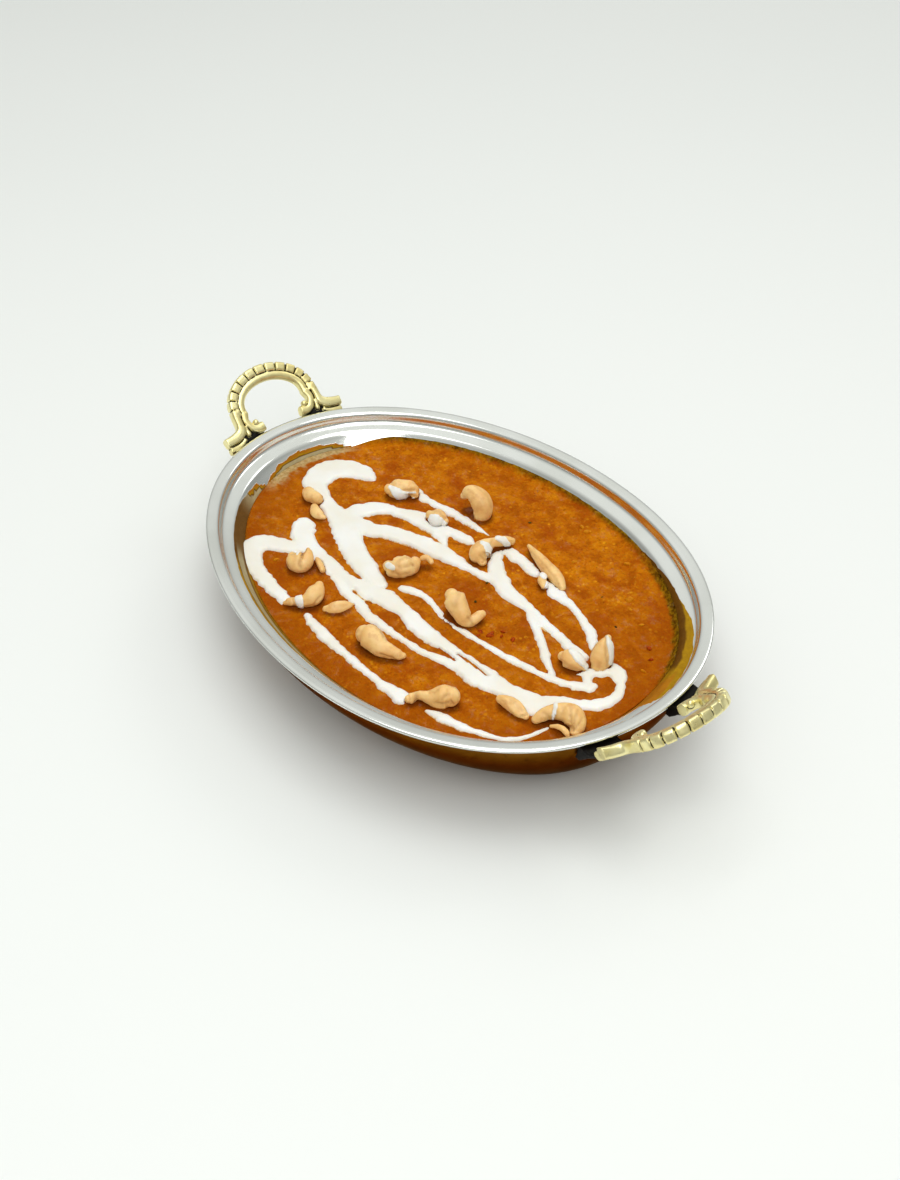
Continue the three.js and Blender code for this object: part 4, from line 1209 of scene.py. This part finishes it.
class Sheet:
    """A regular grid of heights over part of the curry."""

    def __init__(self, low, high, pitch):
        self.x = np.arange(low[0], high[0], pitch)
        self.y = np.arange(low[1], high[1], pitch)
        self.pitch = pitch
        self.grid_x, self.grid_y = np.meshgrid(self.x, self.y, indexing="ij")
        self.places = np.stack([self.grid_x, self.grid_y], -1)

    def span(self, low, high):
        """The rows and columns between two corners."""
        i0, i1 = np.searchsorted(self.x, [low[0], high[0]])
        j0, j1 = np.searchsorted(self.y, [low[1], high[1]])
        return slice(i0, i1), slice(j0, j1)

    def nearest(self, x, y):
        """The row and column nearest to each place."""
        i = np.clip(np.round((x - self.x[0]) / self.pitch).astype(int), 0, len(self.x) - 1)
        j = np.clip(np.round((y - self.y[0]) / self.pitch).astype(int), 0, len(self.y) - 1)
        return i, j


def cream_relief(sheet, strokes, rise, seed):
    """Height of the cream's top over its surroundings: caps laid along each stroke, with edges
    that wander, below 0 outside the cream."""
    relief = np.full(sheet.grid_x.shape, NO_CREAM)
    wander = 0.34 * fractal(sheet.places, 3.8, seed, 3)
    wander = wander + 0.36 * value_noise(sheet.places, 1.4, seed + 9)
    for places in strokes:
        path = smooth_path(places, max(int(np.ptp(np.array(places)[:, 0]) * 1.8), 12) + 8)
        for x, y, width in path:
            radius = width / 2
            if radius < 0.35:
                continue
            reach = radius + 2.4
            window = sheet.span((x - reach, y - reach), (x + reach, y + reach))
            away = np.hypot(sheet.grid_x[window] - x, sheet.grid_y[window] - y)
            away = np.maximum(away - wander[window] * min(1.15, radius / 1.8), 0)
            near = np.clip(1 - (away / radius) ** (2.4 + 0.5 * radius), 0, None)
            top = min(rise, 0.45 + radius * 0.28)
            cap = np.where(away < radius, top * near**0.5, -1.3 * (away - radius))
            relief[window] = np.maximum(relief[window], cap)
    return relief


def blurred(values, passes):
    for _ in range(passes):
        pad = np.pad(values, 1, mode="edge")
        values = (
            4 * values + 2 * (pad[:-2, 1:-1] + pad[2:, 1:-1] + pad[1:-1, :-2] + pad[1:-1, 2:])
            + pad[:-2, :-2] + pad[2:, :-2] + pad[:-2, 2:] + pad[2:, 2:]
        ) / 16
    return values


def sheet_mesh(name, sheet, height, keep, under):
    """A closed mesh over the kept cells of a sheet, its underside this far below the curry. Gives
    also which cells' corners its top has."""
    cell = keep[:-1, :-1] & keep[1:, :-1] & keep[:-1, 1:] & keep[1:, 1:]
    i, j = np.nonzero(cell)
    number = np.arange(height.size).reshape(height.shape)
    quads = np.stack([number[i, j], number[i + 1, j], number[i + 1, j + 1], number[i, j + 1]], -1)
    used, packed = np.unique(quads, return_inverse=True)
    quads = packed.reshape(-1, 4)
    top = np.stack([grid.ravel()[used] for grid in (sheet.grid_x, sheet.grid_y, height)], -1)
    low = top.copy()
    low[:, 2] = np.minimum(curry_height(top[:, 1]) - under, top[:, 2] - 0.2)
    count = len(top)
    edges = np.vstack([quads[:, [k, (k + 1) % 4]] for k in range(4)])
    key = np.sort(edges, axis=1)
    key = key[:, 0] * count + key[:, 1]
    _, first, times = np.unique(key, return_index=True, return_counts=True)
    rim = edges[first[times == 1]]
    walls = np.stack([rim[:, 1], rim[:, 0], rim[:, 0] + count, rim[:, 1] + count], -1)
    faces = np.vstack([quads, quads[:, ::-1] + count, walls])
    return make_mesh(name, np.vstack([top, low]), faces), used


def make_cream(tops, sheet):
    """The cream on the curry, kept clear of the nuts."""
    relief = blurred(cream_relief(sheet, CREAM_STROKES.values(), CREAM_RISE, 60), 1)
    slits = cream_relief(sheet, SLITS, SLIT_DEPTH, 80)
    relief = np.where(slits > -0.3, np.minimum(relief, -0.45 - slits), relief)
    level = curry_height(sheet.grid_y)
    keep = (relief > -0.8) & (tops < level + 0.4)
    height = level + np.maximum(relief, -1.0)
    mesh, used = sheet_mesh("poured_cream", sheet, height, keep, CREAM_UNDER)
    paint(mesh, thin=np.pad(smoothstep(0.5, 0.0, relief.ravel()[used]), (0, len(used))))
    add_piece(mesh, CREAM, ["curry"])


def make_veils(grids):
    """Cream over the nuts: each nut's own skin again, raised inside the veils and sunk outside."""
    bodies, thin = [], []
    for name, lines in VEILS.items():
        grid, out, seen = grids[name]
        inside = np.full(seen.shape[:-1], NO_VEIL)
        wander = 0.22 * fractal(seen, 1.8, 90, 2)
        for line in lines:
            away, along = line_distance(seen, line)
            width = np.interp(along, np.arange(len(line)), np.array(line)[:, 2])
            inside = np.maximum(inside, width / 2 - away + wander)
        inside = np.where(out @ TOWARD > -0.25, inside, NO_VEIL)
        raised = grid + out * (-0.25 + 0.7 * smoothstep(-0.2, 0.45, inside))[..., None]
        bodies.append(capped(raised))
        thin.append(np.append(smoothstep(0.7, 0.1, inside).ravel(), [1, 1]))
    mesh = make_mesh("cream_on_nuts", *stacked(bodies))
    paint(mesh, thin=np.concatenate(thin) * 0.7)
    add_piece(mesh, CREAM, ["curry"])


# ---- curry ----

EDGE_BAND = 18.0  # the curry's outer part is this wide, and takes this share of its grid
EDGE_SHARE = 0.2
# The dark foot of each nut on the curry is a painted shadow.
NUT_SHADOW_REACH = 1.5  # how far towards the viewer the dark foot of each nut reaches
CURRY_CLEAR = 0.3  # between its underside and the liner
CLIMB = 16.5  # it climbs the wall where it is nearer to the rim than this
NO_NUT = -99.0
# The middle and half of each side of its edge, in degrees round the dish.
RIGHT_EDGE, FAR_EDGE, END_EDGE, LEFT_EDGE = (34, 42), (112, 62), (181, 22), (262, 52)
LIT_EDGE = (112, 80)


def curry_edge(degrees):
    """How far in from the rim the curry's edge lies, round the dish: it clings higher up the wall
    on the far side."""
    high = smoothstep(8, 30, degrees) * (1 - smoothstep(148, 166, degrees))
    return 14.3 - 2.6 * high


def nut_tops(sheet, nuts):
    """Height of the highest nut over each place of the sheet, very low where there is none."""
    tops = np.full(sheet.grid_x.shape, NO_NUT)
    for mesh in nuts:
        points = mesh_points(mesh)
        tree = BVHTree.FromPolygons(points.tolist(), [list(p.vertices) for p in mesh.polygons])
        rows, columns = sheet.span(points.min(0), points.max(0))
        for i in range(rows.start, rows.stop):
            for j in range(columns.start, columns.stop):
                hit = tree.ray_cast(Vector((sheet.x[i], sheet.y[j], 80.0)), Vector((0, 0, -1)))[0]
                if hit is not None:
                    tops[i, j] = max(tops[i, j], hit.z)
    return tops


def disc_grid(count):
    """A square grid bent to a disc: each place's angle, and its radius from 0 to 1."""
    a, b = np.meshgrid(np.linspace(-1, 1, count), np.linspace(-1, 1, count), indexing="ij")
    wide = np.abs(a) > np.abs(b)
    radius = np.where(wide, a, b)
    middle = np.abs(radius) < 1e-9
    safe = np.where(middle, 1, radius)
    angle = np.where(wide, math.pi / 4 * b / safe, math.pi / 2 - math.pi / 4 * a / safe)
    angle = np.where(middle, 0, angle)
    return np.where(radius < 0, angle + math.pi, angle), np.abs(radius)


def closed_below(top, angle):
    """Points and faces of a surface over the curry's grid, closed by a plain underside that
    follows the liner's wall."""
    number = np.arange(CURRY_GRID**2).reshape(CURRY_GRID, CURRY_GRID)
    quads = np.stack([number[:-1, :-1], number[1:, :-1], number[1:, 1:], number[:-1, 1:]], -1)
    rim = np.concatenate([number[:-1, 0], number[-1, :-1], number[:0:-1, -1], number[0, :0:-1]])
    count, base = len(rim), number.size
    rows = wall_rows(SHOULDER, LINER_FLOOR, np.linspace(SHOULDER[0] + 1, LINER_FLOOR[0], 8))
    rings = []
    for depth, inset_x, inset_y in rows:
        x, y = oval(angle.ravel()[rim], inset_x + CURRY_CLEAR, inset_y + CURRY_CLEAR)
        rings.append(np.stack([x, y, np.full(count, DISH_HEIGHT - depth + CURRY_CLEAR)], -1))
    hub = [RIM_SHIFT_X, 0, DISH_HEIGHT - LINER_FLOOR[0] + CURRY_CLEAR]
    points = np.vstack([top.reshape(-1, 3), *rings, hub])
    index = np.arange(count)
    after = (index + 1) % count
    upper = np.stack([rim, rim[after], base + after, base + index], -1)
    wall = loft(len(rings), count, base)
    faces = np.vstack([quads.reshape(-1, 4), upper[:, ::-1], wall[:, ::-1]]).tolist()
    last = base + (len(rings) - 1) * count
    faces += np.stack([last + after, last + index, np.full(count, len(points) - 1)], -1).tolist()
    return points, faces


def make_curry(tops, sheet):
    """The curry, with broad swells, small lumps, and a lip where it climbs the wall and the nuts.
    It has painted shade at its edge and a painted shadow at the foot of the nuts, and is smeared at
    the -X end."""
    angle, radius = disc_grid(CURRY_GRID)
    degrees = (np.degrees(angle) + 180) % 360 - 180
    outer = radius > 1 - EDGE_SHARE
    inset = curry_edge(degrees) + np.where(outer, (1 - radius) / EDGE_SHARE, 1) * EDGE_BAND
    scale = np.where(outer, 1.0, radius / (1 - EDGE_SHARE))
    x, y = oval(angle, inset, inset)
    x = (x - RIM_SHIFT_X) * scale + RIM_SHIFT_X
    y = y * scale
    places = np.stack([x, y], -1)
    z = 0.22 * fractal(places, 24, 3, 3) + 0.2 * fractal(places, 5, 7, 3)
    z = curry_height(y) + (z + 0.12 * value_noise(places, 1.4, 9))
    nearest = sheet.nearest(x, y)
    nuts = np.where(tops > NO_NUT / 2, 1.0, 0.0)
    z = z + 0.7 * smoothstep(0.02, 0.6, blurred(nuts, 10)[nearest])
    wall = wall_height(inset) + 0.18 + 0.12 * value_noise(places, 2.2, 12)
    z = np.where(outer & (inset < CLIMB), np.maximum(z, wall), z)
    points, faces = closed_below(np.stack([x, y, z], -1), angle)
    mesh = make_mesh("curry_sauce", points, faces)

    # Painted shadow at the foot of each nut: the nuts' outline, moved towards the viewer and
    # blurred.
    step = np.round(NUT_SHADOW_REACH * TOWARD[:2] / sheet.pitch).astype(int)
    painted_nut_shadow = blurred(np.roll(nuts, step, (0, 1)), 14)[nearest]
    rough = fractal(places, 3.0, 24, 3)
    streaks = fractal(np.stack([x, y * 2.5], -1), 5.0, 21, 3)
    # The curry's edge by the wall takes that dark olive: partly film, partly painted shade of the
    # shadowed wall.
    right = bell(degrees, *RIGHT_EDGE) * smoothstep(12, 26, degrees)
    right = right * smoothstep(14.4, 13.2, inset + 0.6 * rough)
    left = bell(degrees, *LEFT_EDGE) * smoothstep(15.3, 14.4, inset) * 0.7
    far = bell(degrees, *FAR_EDGE) * smoothstep(13.0, 12.2, inset + 0.5 * rough) * 0.75
    beige = smoothstep(18.2, 17.2, inset + 0.9 * rough)
    streaked = smoothstep(21.5, 16, inset) * smoothstep(-0.1, 0.4, streaks)
    smear = bell(degrees, *END_EDGE) * np.maximum(beige, streaked)
    # Painted shade: darker towards the wall, left off on the far side, which stays lit.
    shade = smoothstep(44, 14, inset) * (1 - 0.85 * bell(degrees, *LIT_EDGE)) + 0.25 * rough
    fields = {
        "rim": np.maximum.reduce([right, left, far]),
        "smear": np.clip(smear, 0, 1) * 0.9,
        "shade": np.clip(shade, 0, 1),
        "painted_nut_shadow": smoothstep(0.1, 0.75, painted_nut_shadow),
    }
    below = (0, len(points) - CURRY_GRID**2)
    paint(mesh, **{name: np.pad(values.ravel(), below) for name, values in fields.items()})
    add_piece(mesh, curry_material(), ["curry"])


# ---- small bits in the curry ----

# Each kind's bits as [x, y, length], how flat they are, the seed of their forms, and the name,
# colours and roughness of their material.
BITS = {
    "tomato_bits": (
        [[28.6, -11, 2.2], [33, -9.8, 2.6], [36, -6.8, 2], [38.1, -3.4, 1.8], [43.6, -3.3, 2.2],
         [34.2, -11.7, 1.6], [36.8, -8.4, 3], [76.9, 31.4, 2.4], [81.5, 28, 2], [30.8, -10.4, 1.6],
         [39.6, -5.2, 1.6]],
        0.55, 301, ("tomato", (170, 70, 8), (140, 46, 4), 0.4),
    ),
    "herb_bits": (
        [[13.2, 9.1, 1.6], [19, -0.9, 1.4], [-40, 11.1, 1.5], [61, 30, 1.2], [-5, 45, 1.3],
         [46, 37, 1.2]],
        0.35, 302, ("herb", (84, 70, 14), (46, 38, 8), 0.5),
    ),
    "curry_lumps": (
        [[13.4, 58.9, 3], [37.4, 57.7, 2.8], [53, 43.9, 3.2], [9.6, 59.2, 2.4], [50.5, 46.5, 2.6],
         [57, 40.5, 2.2], [-47, -45, 2.4], [-57, -30, 2], [24, 43, 2.2], [84, 22, 2.2],
         [66, 38, 2]],
        0.4, 303, ("lump", (206, 134, 18), (184, 108, 8), 0.45),
    ),
}


def make_bits(name, places, flat, seed, material):
    """Small uneven lumps, each half sunk in the curry."""
    rng = np.random.default_rng(seed)
    rise = np.linspace(-math.pi / 2, math.pi / 2, 14)[:, None] * 0.98
    turn = np.linspace(0, 2 * math.pi, 18, endpoint=False)[None, :]
    around = [np.cos(rise) * np.cos(turn), np.cos(rise) * np.sin(turn), np.sin(rise) + 0 * turn]
    smooth = np.stack(around, -1)
    bodies = []
    for x, y, length in places:
        relief = value_noise(smooth + rng.uniform(0, 20, 3), 0.8, seed)
        ball = smooth * (1 + 0.3 * relief)[..., None]
        heading = rng.uniform(0, math.pi)
        wide = rng.uniform(0.45, 0.75)
        a, b = ball[..., 0] * length / 2, ball[..., 1] * length / 2 * wide
        bodies.append(capped(np.stack([
            x + a * math.cos(heading) - b * math.sin(heading),
            y + a * math.sin(heading) + b * math.cos(heading),
            curry_height(y) + 0.15 + ball[..., 2] * length / 2 * flat,
        ], -1)))
    mesh = make_mesh(name, *stacked(bodies))
    add_piece(mesh, bit_material(*material), ["curry"])


# ---- the scene, in metres ----

FLOOR_REACH = 6.0
AIM = (0, 0, 0.02)
# Each light's place, the side of its square, and its watts.
LIGHTS = {
    "key": ((0.0, 0.0, 1.05), 0.72, 3.2),
    "front": ((0.6, -0.46, 1.0), 0.7, 3.8),
    "side": ((-0.25, 1.9, 1.7), 0.8, 4.0),
}
CAMERA_AT = (343.6, -261.3, 378.5)
CAMERA_LOOK = (-0.6108, 0.4679, -0.6388)
SENSOR, LENS = 36.0, 45.33


def point_at(holder, way):
    holder.rotation_mode = "QUATERNION"
    holder.rotation_quaternion = Vector(way).to_track_quat("-Z", "Y")


def make_stage():
    m = Material("pale_table")
    pale = m.mix(m.noise(2.2, 2, 0.5), (242, 244, 241), (238, 241, 238))
    signs = ((-1, -1), (1, -1), (1, 1), (-1, 1))
    corners = [(x * FLOOR_REACH, y * FLOOR_REACH, 0) for x, y in signs]
    mesh = bpy.data.meshes.new("table_top")
    mesh.from_pydata(corners, [], [(0, 1, 2, 3)])
    mesh.materials.append(m.finish(Base_Color=pale, Roughness=0.6, Specular_IOR_Level=0.2))
    table = add_object(mesh, "table_top")


def make_world():
    """White studio light, brighter from above and behind, with one dark patch where the
    photographer stands."""
    world = bpy.data.worlds.new("studio")
    world.use_nodes = True
    w = Nodes(world.node_tree)
    direction = w.add("TexCoord", "Generated")

    def part_along(axis, reach=1.0):
        dot = w.add("VectorMath", "Value", ((0, direction), (1, axis)), operation="DOT_PRODUCT")
        return w.math("DIVIDE", dot, reach)

    sideways, upward = part_along(tuple(RIGHT), 0.10), part_along((-0.36, 0.27, 0.89), 0.26)
    across = w.add("CombineXYZ", 0, ((0, sideways), (1, upward)))
    away = w.add("VectorMath", "Value", ((0, across),), operation="LENGTH")
    patch = w.ramp(away, 0.8, 1.1, 0.12, 1.0, "LINEAR")
    facing = w.ramp(part_along((0.707, -0.541, 0.455)), 0.0, 0.1, shape="LINEAR")
    patch = w.add("Mix", 0, ((0, facing), (2, 1.0), (3, patch)))
    height = w.ramp(part_along((0, 0, 1)), 0.15, 0.95, 0.34, 0.72)
    back = w.ramp(part_along((-0.61, 0.47, 0.64)), 0.6, 1.0, 0.0, 0.18)
    background = world.node_tree.nodes["Background"]
    background.inputs["Color"].default_value = (0.975, 0.99, 0.96, 1)
    w.set(background.inputs["Strength"], w.times(patch, w.math("ADD", height, back)))
    bpy.context.scene.world = world


def make_lights():
    for name, (place, size, watts) in LIGHTS.items():
        light = bpy.data.lights.new(name, "AREA")
        light.shape = "RECTANGLE"
        light.size = light.size_y = size
        light.energy = watts
        lamp = add_object(light, name)
        lamp.location = place
        point_at(lamp, Vector(AIM) - Vector(place))


def make_camera():
    camera = bpy.data.cameras.new("photo_view")
    camera.sensor_width = SENSOR
    camera.lens = LENS
    holder = add_object(camera, "photo_view")
    holder.location = Vector(CAMERA_AT) * MM
    point_at(holder, CAMERA_LOOK)
    bpy.context.scene.camera = holder


make_camera()
make_stage()
make_world()
make_lights()
make_liner()
make_jacket()
for which, place in HANDLES.items():
    make_handle(which, place)
kernels, grids = [], {}
for number, (nut, spec) in enumerate(CASHEWS.items()):
    kernel, grids[nut] = make_cashew(nut, spec, 100 + 7 * number)
    kernels.append(kernel)
surface = Sheet((-93, -62), (95, 40), CREAM_PITCH)
nut_map = nut_tops(surface, kernels)
make_curry(nut_map, surface)
make_cream(nut_map, surface)
make_veils(grids)
for kind, bits in BITS.items():
    make_bits(kind, *bits)

bpy.context.scene.view_settings.view_transform = "Standard"
